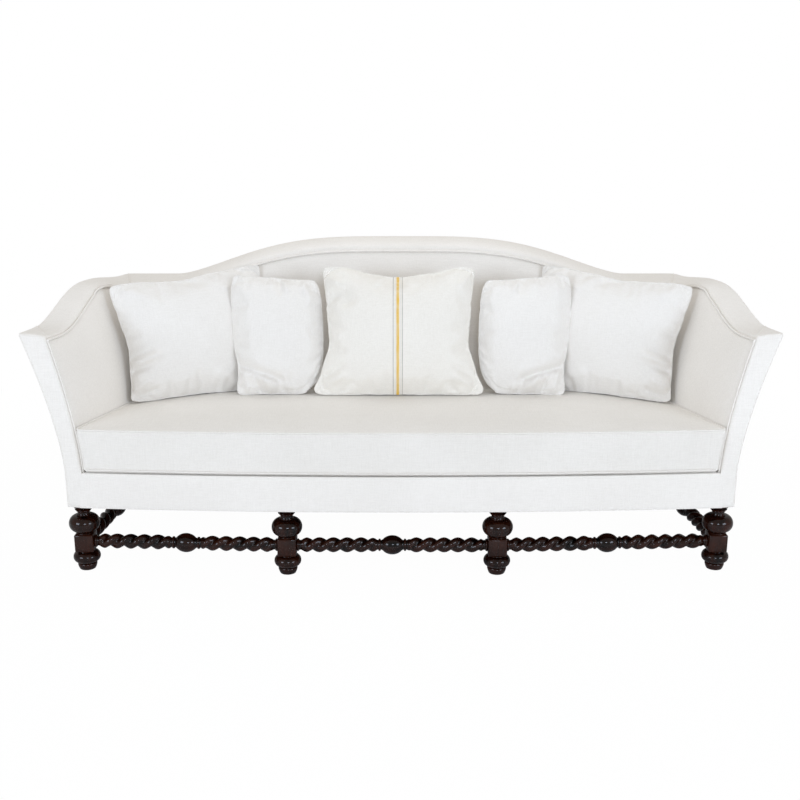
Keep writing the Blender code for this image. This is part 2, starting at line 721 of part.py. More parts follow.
def build_cross_rail(name, x):
    half = CROSS_RAIL_THICKNESS / 2
    near = bow(abs(x) + half) + FRAME_FRONT + SEAM_GAP - MIDDLE_DEPTH
    far = REAR_FACE_DEPTH - FRAME_FRONT - SEAM_GAP - MIDDLE_DEPTH
    outline = ((x - half, near), (x + half, near), (x + half, far), (x - half, far))
    shape = plan_prism(outline, FRAME_BOTTOM, RAIL_TOP - CROSS_RAIL_DROP_HEIGHT)
    rail = add_object(name, shape, frame_wood, smooth=False)
    for row, word, place in leg_places():
        if abs(place.x - x) < half:
            start = Vector((place.x, place.y, FRAME_BOTTOM))
            cut_hole(rail, start, UP, TENON_HOLE_RADIUS, TENON_LENGTH + FIT_GAP)


def build_corner_block(name, place):
    """A block in a corner of the frame. It stops at the inner face of the side rail."""
    half = CORNER_BLOCK_WIDTH / 2
    cut = half - CORNER_BLOCK_CHAMFER_WIDTH
    side = math.copysign(1.0, place.x)
    wall = frame_point(FRONT_POST_SHARE, FRAME_BOTTOM, FRAME_FRONT).x - SEAM_GAP
    reach = min(half, wall - abs(place.x))
    corners = ((reach, -half), (reach, cut), (cut, half), (-cut, half), (-half, cut), (-half, -half))
    outline = [(place.x + side * x, place.y + y) for x, y in corners]
    shape = plan_prism(outline, FRAME_BOTTOM, RAIL_TOP - CROSS_RAIL_DROP_HEIGHT)
    block = add_object(name, shape, frame_wood, smooth=False)
    start = Vector((place.x, place.y, FRAME_BOTTOM))
    cut_hole(block, start, UP, TENON_HOLE_RADIUS, TENON_LENGTH + FIT_GAP)


CROSS_STRAPS = 7
LONG_STRAPS = 3


def build_webbing():
    """A lattice of straps tacked to the top of the rails."""
    low = RAIL_TOP + FIT_GAP
    rise = REAR_FACE_DEPTH - MIDDLE_DEPTH - FRAME_FRONT
    near_end = FRAME_FRONT - WEBBING_BEARING_WIDTH
    far_end = rise + WEBBING_BEARING_WIDTH
    half = WEBBING_WIDTH / 2
    reach = frame_point(POST_END_SHARE, RAIL_TOP, FRAME_FRONT).x - SEAM_GAP * 2.0
    first_row = seat_point(reach, FRAME_FRONT + WEBBING_WIDTH, low).y
    post_start = frame_point(POST_START_SHARE, RAIL_TOP, FRAME_FRONT).y - MIDDLE_DEPTH
    last_row = min(rise - WEBBING_WIDTH, post_start - SEAM_GAP * 2.0)
    columns = []
    for step in range(CROSS_STRAPS):
        middle = (reach - half) * (2.0 * step / (CROSS_STRAPS - 1) - 1.0)
        columns += [middle - half, middle + half]
    rows = []
    for step in range(LONG_STRAPS):
        middle = mix(first_row + half, last_row - half, step / (LONG_STRAPS - 1))
        rows += [middle - half, middle + half]
    shape = bmesh.new()
    grid = {}

    def corner(column, row):
        key = (column, row)
        if key in grid:
            return grid[key]
        y = rows[min(max(row, 0), len(rows) - 1)]
        x = columns[min(max(column, 0), len(columns) - 1)]
        if column < 0 or column >= len(columns):
            x = side_strap_end(y, low) * (-1.0 if column < 0 else 1.0)
        if row < 0:
            y = seat_point(x, near_end, low).y
        if row >= len(rows):
            y = far_end
        grid[key] = shape.verts.new((x, y, low))
        return grid[key]

    for column in range(-1, len(columns)):
        for row in range(-1, len(rows)):
            on_cross = column % 2 == 0 and 0 <= column < len(columns)
            on_long = row % 2 == 0 and 0 <= row < len(rows)
            if on_cross or on_long:
                shape.faces.new((corner(column, row), corner(column + 1, row),
                                 corner(column + 1, row + 1), corner(column, row + 1)))
    bottom = list(shape.faces)
    grown = bmesh.ops.extrude_face_region(shape, geom=bottom)
    raised = [item for item in grown["geom"] if isinstance(item, bmesh.types.BMVert)]
    bmesh.ops.translate(shape, verts=raised, vec=(0.0, 0.0, WEBBING_THICKNESS))
    bmesh.ops.reverse_faces(shape, faces=bottom)
    add_object("seat_webbing", shape, jute, smooth=False)


def side_strap_end(y, height):
    """Where a long strap ends on the side rail, at a place from front to back."""
    front = frame_point(0.0, height, FRAME_FRONT)
    rear = frame_point(POST_START_SHARE, height, FRAME_FRONT)
    amount = (y + MIDDLE_DEPTH - front.y) / (rear.y - front.y)
    return front.lerp(rear, amount).x + WEBBING_BEARING_WIDTH


def build_deck():
    """The padded platform under the cushion."""
    low = RAIL_TOP + FIT_GAP + WEBBING_THICKNESS + FIT_GAP
    outlines = []
    for height in (low, DECK_TOP):
        start = frame_point(0.0, height, PAD_BACK) + Vector((0.0, SEAM_GAP))
        step = Vector((facing_edge(DECK_TOP), start.y))
        line = [frame_point(station, height, PAD_BACK) for station in between(0.0, 2.0)[1:]]
        outlines.append(front_edge(facing_edge(DECK_TOP), FRAME_BACK) + both_sides([step, start] + line))
    add_object("seat_deck", plan_prism(outlines[0], low, DECK_TOP, outlines[1]), linen)


def build_dust_cover():
    """Thin cloth under the frame, cut out round the collars of the legs."""
    high = LEG_HEIGHT - FIT_GAP
    low = high - DUST_COVER_THICKNESS
    line = [frame_point(station, LEG_HEIGHT, DUST_COVER_INSET_WIDTH) for station in between(0.0, 2.0)[1:]]
    outline = front_edge(line[0].x - DUST_COVER_INSET_WIDTH, DUST_COVER_INSET_WIDTH) + both_sides(line)
    cover = add_object("dust_cover", plan_prism(outline, low, high), black_cloth, False)
    hole = COLLAR_RADIUS / math.cos(math.pi / LEG_SIDES) + SEAM_GAP
    for row, word, place in leg_places():
        start = Vector((place.x, place.y, low))
        cut_hole(cover, start, UP, hole, DUST_COVER_THICKNESS + CUT_OVERRUN)


# The turned base

def rounded_rings(bottom, height, radius, end_radius, steps):
    """Heights and radii of a ball or a bun between two narrower ends."""
    rings = []
    for step in range(steps + 1):
        angle = math.pi * step / steps
        rings.append((bottom + height * (1.0 - math.cos(angle)) / 2,
                      mix(end_radius, radius, math.sin(angle) ** 0.8)))
    return rings


def leg_rings():
    """The profile of a leg from the floor up, as height, radius and whether it is square."""
    bun_bottom = FOOT_HEIGHT
    block_bottom = bun_bottom + BUN_HEIGHT
    block_top = block_bottom + BLOCK_HEIGHT
    ball_bottom = block_top + BLOCK_CHAMFER_WIDTH / 2
    ball_top = ball_bottom + BALL_HEIGHT
    neck = LEG_HEIGHT - ball_top
    foot = [(0.0, FOOT_BASE_RADIUS, False), (FOOT_HEIGHT * 0.25, FOOT_RADIUS * 0.93, False),
            (FOOT_HEIGHT * 0.75, FOOT_RADIUS, False), (FOOT_HEIGHT * 0.97, GROOVE_RADIUS, False)]
    bun = [(z, radius, False) for z, radius in
           rounded_rings(bun_bottom, BUN_HEIGHT, BUN_RADIUS, NECK_RADIUS, 4)]
    block = [(block_bottom + FIT_GAP, BLOCK_WIDTH / 2, True), (block_top, BLOCK_WIDTH / 2, True)]
    ball = [(z, radius, False) for z, radius in
            rounded_rings(ball_bottom, BALL_HEIGHT, BALL_RADIUS, NECK_RADIUS, 5)]
    collar = [(ball_top + neck * 0.35, NECK_RADIUS, False), (ball_top + neck * 0.8, COLLAR_RADIUS, False),
              (LEG_HEIGHT, COLLAR_RADIUS, False), (LEG_HEIGHT, TENON_RADIUS, False),
              (LEG_HEIGHT + TENON_LENGTH, TENON_RADIUS, False)]
    return foot + bun + block + ball + collar


def leg_section(height, radius, square):
    """Eight points: round, or square with chamfered corners."""
    if not square:
        turn = 2.0 * math.pi / LEG_SIDES
        return [Vector((radius * math.cos(turn * (step + 0.5)), radius * math.sin(turn * (step + 0.5)),
                        height)) for step in range(LEG_SIDES)]
    inner = radius - BLOCK_CHAMFER_WIDTH
    corners = ((radius, inner), (inner, radius), (-inner, radius), (-radius, inner),
               (-radius, -inner), (-inner, -radius), (inner, -radius), (radius, -inner))
    return [Vector((x, y, height)) for x, y in corners]


def build_leg(name, place, stretcher_directions):
    sections = [leg_section(*ring) for ring in leg_rings()]
    keys = list(range(LEG_SIDES))
    leg = add_object(name, loft_sections(sections, keys, strips=False), dark_wood)
    leg.location = place
    for direction in stretcher_directions:
        face = place + Vector((0.0, 0.0, STRETCHER_HEIGHT)) + direction * (BLOCK_WIDTH / 2)
        hole = STRETCHER_TENON_RADIUS / math.cos(math.pi / LEG_SIDES) + FIT_GAP
        cut_hole(leg, face, -direction, hole, STRETCHER_TENON_LENGTH + FIT_GAP)


def stretcher_rings(length):
    """Distances and radii along a stretcher, with the turn of its twist where it has one."""
    half = length / 2
    ball_half = MIDDLE_BALL_RADIUS * 0.9
    twist_start = RING_LENGTH * 2.0
    twist_end = half - ball_half - RING_LENGTH * 2.0
    pitches = max(round((twist_end - twist_start) / TWIST_PITCH_LENGTH * STEPS_PER_PITCH), 1)
    rings = [(-STRETCHER_TENON_LENGTH, STRETCHER_TENON_RADIUS, None), (FIT_GAP, STRETCHER_TENON_RADIUS, None),
             (FIT_GAP, END_RING_RADIUS, None), (RING_LENGTH, END_RING_RADIUS, None),
             (RING_LENGTH * 1.5, COVE_RADIUS, None)]
    turn = math.pi / STEPS_PER_PITCH
    for step in range(pitches + 1):
        rings.append((mix(twist_start, twist_end, step / pitches), TWIST_RADIUS, turn * step))
    rings += [(twist_end + RING_LENGTH * 0.6, COVE_RADIUS, None),
              (twist_end + RING_LENGTH, END_RING_RADIUS, None),
              (twist_end + RING_LENGTH * 1.6, COVE_RADIUS, None)]
    ball = [(half - ball_half * math.cos(math.pi * step / 8),
             mix(COVE_RADIUS, MIDDLE_BALL_RADIUS, math.sin(math.pi * step / 8)), None) for step in (1, 2, 3)]
    middle = [(half, MIDDLE_BALL_RADIUS, None)]
    first = rings + ball
    last_turn = turn * pitches
    second = []
    for distance, radius, angle in reversed(first):
        second.append((length - distance, radius, None if angle is None else 2.0 * last_turn - angle))
    return first + middle + second


def build_stretcher(name, start, end, square_to, material=dark_wood):
    """A left-handed double twist from the face of one leg's block to the face of the next."""
    along = end - start
    length = along.dot(square_to)
    step_along = along / length
    upright = Vector((0.0, 0.0, 1.0))
    across = upright.cross(square_to)
    sections = []
    for distance, radius, angle in stretcher_rings(length):
        centre = start + step_along * min(max(distance, 0.0), length)
        centre += square_to * (distance - min(max(distance, 0.0), length))
        section = []
        for side in range(TWIST_SIDES):
            around = 2.0 * math.pi * side / TWIST_SIDES
            reach = radius
            if angle is not None:
                reach = radius - TWIST_HOLLOW_DEPTH * (1.0 - math.cos(2.0 * (around + angle)))
            section.append(centre + (across * math.cos(around) + upright * math.sin(around)) * reach)
        sections.append(section)
    add_object(name, loft_sections(sections, list(range(TWIST_SIDES)), strips=False), material)


def build_base():
    """Eight legs in two rows, tied by stretchers along the front, the rear and the sides."""
    along = Vector((1.0, 0.0, 0.0))
    deep = Vector((0.0, 1.0, 0.0))
    lift = Vector((0.0, 0.0, STRETCHER_HEIGHT))
    reach = BLOCK_WIDTH / 2
    places = {(row, word): place for row, word, place in leg_places()}
    for (row, word), place in places.items():
        toward = 1.0 if row == "front" else -1.0
        if word.startswith("inner"):
            directions = (along, -along)
        else:
            directions = (along * (1.0 if place.x < 0.0 else -1.0), deep * toward)
        build_leg(f"{row}_leg_{word}", place, directions)
    for row in ("front", "rear"):
        names = ("left", "inner_left", "inner_right", "right")
        for word, first, second in zip(("left", "middle", "right"), names, names[1:]):
            start = places[row, first] + lift + along * reach
            end = places[row, second] + lift - along * reach
            build_stretcher(f"{row}_stretcher_{word}", start, end, along)
    for word, side in SIDES:
        start = places["front", word] + lift + deep * reach
        end = places["rear", word] + lift - deep * reach
        build_stretcher(f"side_stretcher_{word}", start, end, deep)


# The loose cushion and the pillows

def cushion_half_width(depth_place, height):
    """Half the cushion's width at a depth from the front of the seat, clear of the walls."""
    line = [inner_point(station, height) for station in between(0.0, 2.28)]
    if depth_place <= line[0].y:
        return line[0].x - CUSHION_SIDE_GAP
    for first, second in zip(line, line[1:]):
        if first.y <= depth_place <= second.y:
            amount = (depth_place - first.y) / max(second.y - first.y, FIT_GAP)
            return mix(first.x, second.x, amount) - CUSHION_SIDE_GAP * 2.0
    return line[-1].x


CUSHION_ROW_SHARES = (0.0, 0.12, 0.3, 0.5, 0.68, 0.82, 0.92, 0.975, 1.0)
CUSHION_COLUMN_SHARES = (0.0, 0.2, 0.4, 0.6, 0.78, 0.91, 1.0)


def cushion_point(column, row, height, shrink=0.0):
    """A point of the cushion: column from -1 to 1 across, row from 0 to 1 to the back."""
    far = BACK_FACE_DEPTH - CUSHION_SIDE_GAP * 2.0
    depth = mix(bow(OUTER_HALF_WIDTH) - CUSHION_OVERHANG_DEPTH, far, row)
    half_width = cushion_half_width(depth + CUSHION_SIDE_GAP, min(height, SEAT_TOP)) - shrink
    x = column * half_width
    near = bow(x) - CUSHION_OVERHANG_DEPTH + shrink
    y = mix(near, far - shrink, row)
    return Vector((x, y - MIDDLE_DEPTH, height))


def build_cushion():
    """The bench cushion: a crowned top, edges that round over, and sides that draw in."""
    rows = CUSHION_ROW_SHARES
    columns = [-share for share in reversed(CUSHION_COLUMN_SHARES[1:])] + list(CUSHION_COLUMN_SHARES)
    bottom = DECK_TOP + FIT_GAP
    top = SEAT_TOP
    shape = bmesh.new()
    upper = {}
    for i, column in enumerate(columns):
        for j, row in enumerate(rows):
            lift = CUSHION_CROWN_HEIGHT * (1.0 - column ** 4) * (1.0 - (2.0 * row - 1.0) ** 4)
            upper[i, j] = shape.verts.new(cushion_point(column, row, top + lift, CUSHION_EDGE_RADIUS / 2))
    for i in range(len(columns) - 1):
        for j in range(len(rows) - 1):
            shape.faces.new((upper[i, j], upper[i + 1, j], upper[i + 1, j + 1], upper[i, j + 1]))
    rim = [(i, 0) for i in range(len(columns))]
    rim += [(len(columns) - 1, j) for j in range(1, len(rows))]
    rim += [(i, len(rows) - 1) for i in range(len(columns) - 2, -1, -1)]
    rim += [(0, j) for j in range(len(rows) - 2, 0, -1)]
    bands = ((top - CUSHION_EDGE_RADIUS, 0.0), ((top + bottom) / 2, CUSHION_DRAW_DEPTH),
             (bottom + CUSHION_EDGE_RADIUS, 0.0), (bottom, CUSHION_EDGE_RADIUS / 2))
    above = [upper[key] for key in rim]
    for height, shrink in bands:
        below = [shape.verts.new(cushion_point(columns[i], rows[j], height, shrink)) for i, j in rim]
        for index in range(len(rim)):
            after = (index + 1) % len(rim)
            shape.faces.new((above[index], above[after], below[after], below[index]))
        above = below
    shape.faces.new(above)
    return add_object("seat_cushion", shape, linen)


def build_pillow(name, size, place, material, turn=0.0, draw=SIDE_PILLOW_DRAW_WIDTH, rise=0.0, taper=0.0):
    """A stuffed pillow: crowned, with edges drawn in between its corners and a flatter foot."""
    width, height, thickness = size
    shape = bmesh.new()
    across, up = 9, 8
    for face in (1.0, -1.0):
        made = bmesh.ops.create_grid(shape, x_segments=across, y_segments=up, size=1.0)["verts"]
        for vertex in made:
            u = math.sin(vertex.co.x * math.pi / 2)
            v = math.sin(vertex.co.y * math.pi / 2)
            full = max((1.0 - u * u) * (1.0 - v * v), 0.0) ** PILLOW_FULLNESS_SHARE
            foot = PILLOW_FOOT_SHARE if v < 0.0 else 1.0
            vertex.co.x = u * (width / 2 - draw * (1.0 - v * v)) * (1.0 - taper * v)
            vertex.co.z = v * (height / 2 - draw * foot * (1.0 - u * u)) + rise * u * (1.0 + v) / 2
            vertex.co.y = -face * full * thickness / 2
    bmesh.ops.remove_doubles(shape, verts=shape.verts, dist=FIT_GAP / 3)
    for corner in [vertex for vertex in shape.verts if len(vertex.link_edges) == 2]:
        for face in list(corner.link_faces):
            opposite = face.verts[(list(face.verts).index(corner) + 2) % 4]
            bmesh.utils.face_split(face, corner, opposite)
    pillow = add_object(name, shape, material)
    lean = Euler((-BACK_RAKE, 0.0, 0.0)).to_matrix()
    pillow.rotation_euler = (Matrix.Rotation(turn, 3, "Z") @ lean).to_euler()
    pillow.location = place
    return pillow


PILLOW_SLIDE = Vector((0.0, math.sin(BACK_RAKE), math.cos(BACK_RAKE)))
TO_BACK = Vector((0.0, 1.0, 0.0))
SLIDE_STEPS = 12
SAMPLE_STEP = 0.006


def samples_of(thing):
    """Points spread over the surface of an object, in the sofa's frame."""
    graph = bpy.context.evaluated_depsgraph_get()
    shown = thing.evaluated_get(graph)
    mesh = shown.to_mesh()
    world = thing.matrix_world
    points = [world @ vertex.co for vertex in mesh.vertices]
    for edge in mesh.edges:
        first, second = (world @ mesh.vertices[index].co for index in edge.vertices)
        count = math.ceil((second - first).length / SAMPLE_STEP)
        points += [first.lerp(second, step / count) for step in range(1, count)]
    faces = [tuple(polygon.vertices) for polygon in mesh.polygons]
    tree = BVHTree.FromPolygons([world @ vertex.co for vertex in mesh.vertices], faces)
    shown.to_mesh_clear()
    return points, tree


def room(pillow, others, direction, slides):
    """The least free way from the pillow to the others, along a direction, over its slide."""
    bpy.context.view_layer.update()
    points, tree = samples_of(pillow)
    least = 1.0
    for other_points, other_tree in others:
        for slide in slides:
            offset = PILLOW_SLIDE * slide
            for point in points:
                hit = other_tree.ray_cast(point + offset, direction)
                if hit[3] is not None:
                    least = min(least, hit[3])
            for point in other_points:
                hit = tree.ray_cast(point - offset, -direction)
                if hit[3] is not None:
                    least = min(least, hit[3])
    return least


def settle(pillow, seat, walls, neighbours):
    """Lowers a pillow to the seat and pushes it back until it nearly touches what is behind it."""
    slides = [PILLOW_TRAVEL_LENGTH * step / SLIDE_STEPS for step in range(-SLIDE_STEPS, SLIDE_STEPS + 1)]
    up_slides = slides[SLIDE_STEPS:]
    drop_only = [0.0]
    for attempt in range(8):
        drop = room(pillow, [seat], -UP, drop_only) - SEAM_GAP * 1.6
        pillow.location.z -= drop
        back = room(pillow, walls, TO_BACK, up_slides) - SEAM_GAP * 1.5
        if neighbours:
            back = min(back, room(pillow, neighbours, TO_BACK, slides) - PILLOW_GAP)
        pillow.location.y += back
        if abs(drop) < FIT_GAP / 3 and abs(back) < FIT_GAP / 3:
            break
    bpy.context.view_layer.update()


def build_pillows(cushion):
    """Two corner pillows, two narrow ones before them and the large one in the middle."""
    seat = samples_of(cushion)
    walls = [samples_of(bpy.data.objects[name]) for name in
             ("inside_back_pad", "inside_arm_pad_left", "inside_arm_pad_right")]
    height = SEAT_TOP + CUSHION_CROWN_HEIGHT + MIDDLE_PILLOW_SIZE[1]
    depth = -MIDDLE_PILLOW_SIZE[2]
    corner_pillow = {}
    narrow_pillow = {}
    for word, side in SIDES:
        place = Vector((side * CORNER_PILLOW_OFFSET, depth, height))
        corner_pillow[word] = build_pillow(f"corner_pillow_{word}", CORNER_PILLOW_SIZE, place, linen,
                                           turn=-side * CORNER_PILLOW_TURN,
                                           rise=-side * CORNER_PILLOW_RISE_HEIGHT,
                                           taper=-CORNER_PILLOW_SPLAY_SHARE)
        settle(corner_pillow[word], seat, walls, [])
    for word, side in SIDES:
        place = Vector((side * NARROW_PILLOW_OFFSET, depth, height))
        narrow_pillow[word] = build_pillow(f"narrow_pillow_{word}", NARROW_PILLOW_SIZE, place, linen)
        settle(narrow_pillow[word], seat, walls, [samples_of(corner_pillow[word])])
    place = Vector((MIDDLE_PILLOW_OFFSET, depth, height))
    middle = build_pillow("middle_pillow", MIDDLE_PILLOW_SIZE, place, ivory,
                          draw=MIDDLE_PILLOW_DRAW_WIDTH, taper=MIDDLE_TAPER_SHARE)
    settle(middle, seat, walls, [samples_of(narrow_pillow[word]) for word, side in SIDES])


build_base()
build_wall_frame()
build_uprights()
build_seat_base()
build_pads()
build_outside_covers()
build_facings()
build_borders()
build_pillows(build_cushion())
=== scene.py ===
import math

import bmesh
import bpy
from mathutils import Matrix, Vector, noise
from mathutils.bvhtree import BVHTree


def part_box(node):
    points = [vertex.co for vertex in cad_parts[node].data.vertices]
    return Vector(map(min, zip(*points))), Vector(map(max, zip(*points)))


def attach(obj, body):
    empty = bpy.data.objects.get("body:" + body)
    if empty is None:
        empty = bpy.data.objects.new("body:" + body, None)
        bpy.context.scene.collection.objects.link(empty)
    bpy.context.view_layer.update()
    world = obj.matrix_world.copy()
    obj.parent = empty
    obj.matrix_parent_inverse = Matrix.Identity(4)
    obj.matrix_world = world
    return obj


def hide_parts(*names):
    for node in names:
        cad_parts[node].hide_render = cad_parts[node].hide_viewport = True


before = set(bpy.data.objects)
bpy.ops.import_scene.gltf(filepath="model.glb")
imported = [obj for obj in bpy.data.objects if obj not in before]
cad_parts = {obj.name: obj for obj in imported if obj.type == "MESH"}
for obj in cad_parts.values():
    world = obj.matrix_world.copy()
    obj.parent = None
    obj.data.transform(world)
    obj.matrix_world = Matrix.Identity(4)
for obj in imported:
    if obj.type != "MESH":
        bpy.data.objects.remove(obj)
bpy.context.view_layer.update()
scene = bpy.context.scene
scene.view_settings.view_transform = "Standard"


# ---- The camera -------------------------------------------------------------------------------
# A plain lens at the place from which the sofa is seen: straight in front of it, higher than its
# back, looking a little down on it.

camera = bpy.data.objects.new("camera", bpy.data.cameras.new("camera"))
scene.collection.objects.link(camera)
camera.location = (-0.0035, -3.960, 1.630)
camera.rotation_euler = (math.radians(74.3), 0.0, 0.0)
camera.data.sensor_width = 36.0
camera.data.lens = 50.85
scene.camera = camera


# ---- The studio -------------------------------------------------------------------------------
# A pale floor that runs out to white, a narrow lamp in front whose light also lies on the polished
# wood, a soft one at each side, one overhead, and a warm pale room all round. The floor keeps a
# faint shadow of the sofa.


class Value:
    """One output in a material. Sums, differences and products of it add Math nodes."""

    def __init__(self, socket):
        self.socket = socket

    def joined(self, operation, first, second):
        node = self.socket.id_data.nodes.new("ShaderNodeMath")
        node.operation = operation
        plug(node.inputs[0], first)
        plug(node.inputs[1], second)
        return Value(node.outputs[0])

    def __add__(self, other):
        return self.joined("ADD", self, other)

    def __radd__(self, other):
        return self.joined("ADD", other, self)

    def __sub__(self, other):
        return self.joined("SUBTRACT", self, other)

    def __rsub__(self, other):
        return self.joined("SUBTRACT", other, self)

    def __mul__(self, other):
        return self.joined("MULTIPLY", self, other)

    def __rmul__(self, other):
        return self.joined("MULTIPLY", other, self)


def plug(entry, value):
    """Puts a number, a colour or the output of another node into an input."""
    if isinstance(value, Value):
        entry.id_data.links.new(value.socket, entry)
    else:
        entry.default_value = value


class Finish:
    """A material and the nodes that make it."""

    def __init__(self, name):
        self.material = bpy.data.materials.new(name)
        self.material.use_nodes = True
        self.tree = self.material.node_tree
        self.shader = self.tree.nodes["Principled BSDF"]

    def node(self, kind, settings, inputs, output=0):
        made = self.tree.nodes.new(kind)
        for setting, value in settings.items():
            if setting == "stops":
                ramp = made.color_ramp.elements
                for place, colour in value[2:]:
                    ramp.new(place)
                for stop, (place, colour) in zip(ramp, value):
                    stop.position = place
                    stop.color = (*colour, 1.0)
            else:
                setattr(made, setting, value)
        for entry, value in inputs.items():
            plug(made.inputs[entry], value)
        return Value(made.outputs[output])

    def place(self, scale=(1.0, 1.0, 1.0), turn=None):
        """Places on the piece in metres, turned and then stretched for a pattern."""
        where = self.node("ShaderNodeTexCoord", {}, {}, "Object")
        if turn:
            where = self.node("ShaderNodeMapping", {}, {"Vector": where, "Rotation": turn})
        return self.node("ShaderNodeMapping", {}, {"Vector": where, "Scale": scale})

    def speckle(self, vector, scale, detail=2.0, roughness=0.5):
        inputs = {"Vector": vector, "Scale": scale, "Detail": detail, "Roughness": roughness}
        return self.node("ShaderNodeTexNoise", {}, inputs)

    def ramp(self, factor, *stops):
        return self.node("ShaderNodeValToRGB", {"stops": stops}, {"Fac": factor})

    def blend(self, factor, first, second):
        inputs = {0: factor, 6: first, 7: second}
        return self.node("ShaderNodeMix", {"data_type": "RGBA"}, inputs, 2)

    def raised(self, height, distance, strength=1.0):
        inputs = {"Height": height, "Distance": distance, "Strength": strength}
        return self.node("ShaderNodeBump", {}, inputs)

    def surface(self, **inputs):
        for entry, value in inputs.items():
            plug(self.shader.inputs[entry.replace("_", " ")], value)


WHITE = (1.0, 1.0, 1.0, 1.0)
FLOOR_WHITENESS = 0.984
RUN_OUT_START = 1.5
RUN_OUT_END = 3.0

floor_finish = Finish("pale_floor")
seen = floor_finish.node("ShaderNodeLightPath", {}, {}, "Is Camera Ray")
floor_grain = floor_finish.speckle(floor_finish.place(), 3.0, 3.0)
floor_colour = floor_finish.blend(floor_grain, (0.86, 0.86, 0.86, 1.0), (0.90, 0.90, 0.90, 1.0))
floor_finish.surface(Base_Color=floor_colour, Roughness=0.8)
white_light = floor_finish.node("ShaderNodeEmission", {}, {"Color": WHITE, "Strength": 1.0})
far_off = floor_finish.node("ShaderNodeVectorMath", {"operation": "LENGTH"},
                            {0: floor_finish.place()}, 1)
run_out = floor_finish.node("ShaderNodeMapRange", {"interpolation_type": "SMOOTHSTEP"},
                            {"Value": far_off, 1: RUN_OUT_START, 2: RUN_OUT_END})
share = seen * (FLOOR_WHITENESS + 0.016 * run_out)
inputs = {0: share, 1: Value(floor_finish.shader.outputs[0]), 2: white_light}
shown_floor = floor_finish.node("ShaderNodeMixShader", {}, inputs)
plug(floor_finish.tree.nodes["Material Output"].inputs["Surface"], shown_floor)

floor_shape = bmesh.new()
bmesh.ops.create_grid(floor_shape, x_segments=4, y_segments=4, size=14.0)
floor_mesh = bpy.data.meshes.new("floor")
floor_shape.to_mesh(floor_mesh)
floor_shape.free()
floor_mesh.materials.append(floor_finish.material)
floor = bpy.data.objects.new("floor", floor_mesh)
scene.collection.objects.link(floor)

scene.world = bpy.data.worlds.new("white_room")
scene.world.use_nodes = True
room = scene.world.node_tree
backdrop = room.nodes["Background"]
backdrop.inputs["Color"].default_value = (1.0, 0.98, 0.95, 1.0)
backdrop.inputs["Strength"].default_value = 0.50
plain_white = room.nodes.new("ShaderNodeBackground")
plain_white.inputs["Color"].default_value = WHITE
plain_white.inputs["Strength"].default_value = 1.0
room_path = room.nodes.new("ShaderNodeLightPath")
room_mix = room.nodes.new("ShaderNodeMixShader")
plug(room_mix.inputs[0], Value(room_path.outputs["Is Camera Ray"]))
plug(room_mix.inputs[1], Value(backdrop.outputs[0]))
plug(room_mix.inputs[2], Value(plain_white.outputs[0]))
plug(room.nodes["World Output"].inputs["Surface"], Value(room_mix.outputs[0]))


def soft_lamp(name, place, target, size, power, colour):
    lamp = bpy.data.objects.new(name, bpy.data.lights.new(name, "AREA"))
    lamp.data.shape = "RECTANGLE"
    lamp.data.size, lamp.data.size_y = size
    lamp.data.energy = power
    lamp.data.color = colour
    lamp.location = place
    lamp.rotation_euler = (Vector(target) - Vector(place)).to_track_quat("-Z", "Y").to_euler()
    scene.collection.objects.link(lamp)


COOL_LIGHT = (0.755, 0.852, 1.0)
soft_lamp("front_lamp", (0.4, -4.9, 2.1), (0.0, 0.0, 0.5), (1.1, 0.45), 40.0, COOL_LIGHT)
for side in (-1.0, 1.0):
    soft_lamp("side_lamp", (3.3 * side, -3.2, 1.6), (-0.6 * side, 0.15, 0.6), (1.6, 1.2), 61.0,
              COOL_LIGHT)
soft_lamp("top_lamp", (0.0, 0.6, 3.4), (0.0, 0.0, 0.4), (3.0, 1.6), 26.0, (0.96, 0.98, 1.0))


# ---- The beech frame inside -------------------------------------------------------------------
# Sawn beech rails, posts and blocks, glued and screwed together under the cloth. They keep the
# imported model's shapes. The grain runs along each piece.

GRAIN_ALONG = {"x": (2.2, 60.0, 60.0), "y": (60.0, 2.2, 60.0), "z": (60.0, 60.0, 2.2)}


def beech(name, along):
    wood = Finish(name)
    streaks = wood.speckle(wood.place(GRAIN_ALONG[along]), 1.0, 4.0, 0.6)
    flecks = wood.speckle(wood.place(tuple(4.0 * share for share in GRAIN_ALONG[along])), 2.6, 1.0)
    tone = streaks * 0.75 + flecks * 0.25
    colour = wood.ramp(tone, (0.30, (0.62, 0.43, 0.26)), (0.70, (0.44, 0.28, 0.155)),
                       (0.50, (0.55, 0.37, 0.22)))
    wood.surface(Base_Color=colour, Roughness=0.55 + 0.2 * tone,
                 Normal=wood.raised(tone, 0.0004, 0.4))
    return wood.material


beech_across = beech("beech_across", "x")
beech_deep = beech("beech_deep", "y")
beech_upright = beech("beech_upright", "z")


def give(finish, *names):
    """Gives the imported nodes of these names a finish, and their record slot stays."""
    for name in names:
        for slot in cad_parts[name].material_slots:
            slot.material = finish


give(beech_across, "front_rail", "rear_rail", "back_tack_rail", "back_top_rail")
for word in ("left", "right"):
    give(beech_deep, f"side_rail_{word}", f"arm_tack_rail_{word}", f"arm_top_rail_{word}",
         f"cross_rail_{word}")
    give(beech_upright, f"front_post_{word}", f"corner_post_{word}", f"back_upright_{word}",
         f"front_corner_block_{word}", f"rear_corner_block_{word}")


# ---- The webbing and the dust cover -----------------------------------------------------------
# Jute straps, woven tight and tacked over the rails, carry the seat. Thin black cambric closes the
# seat from below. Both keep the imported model's shapes.

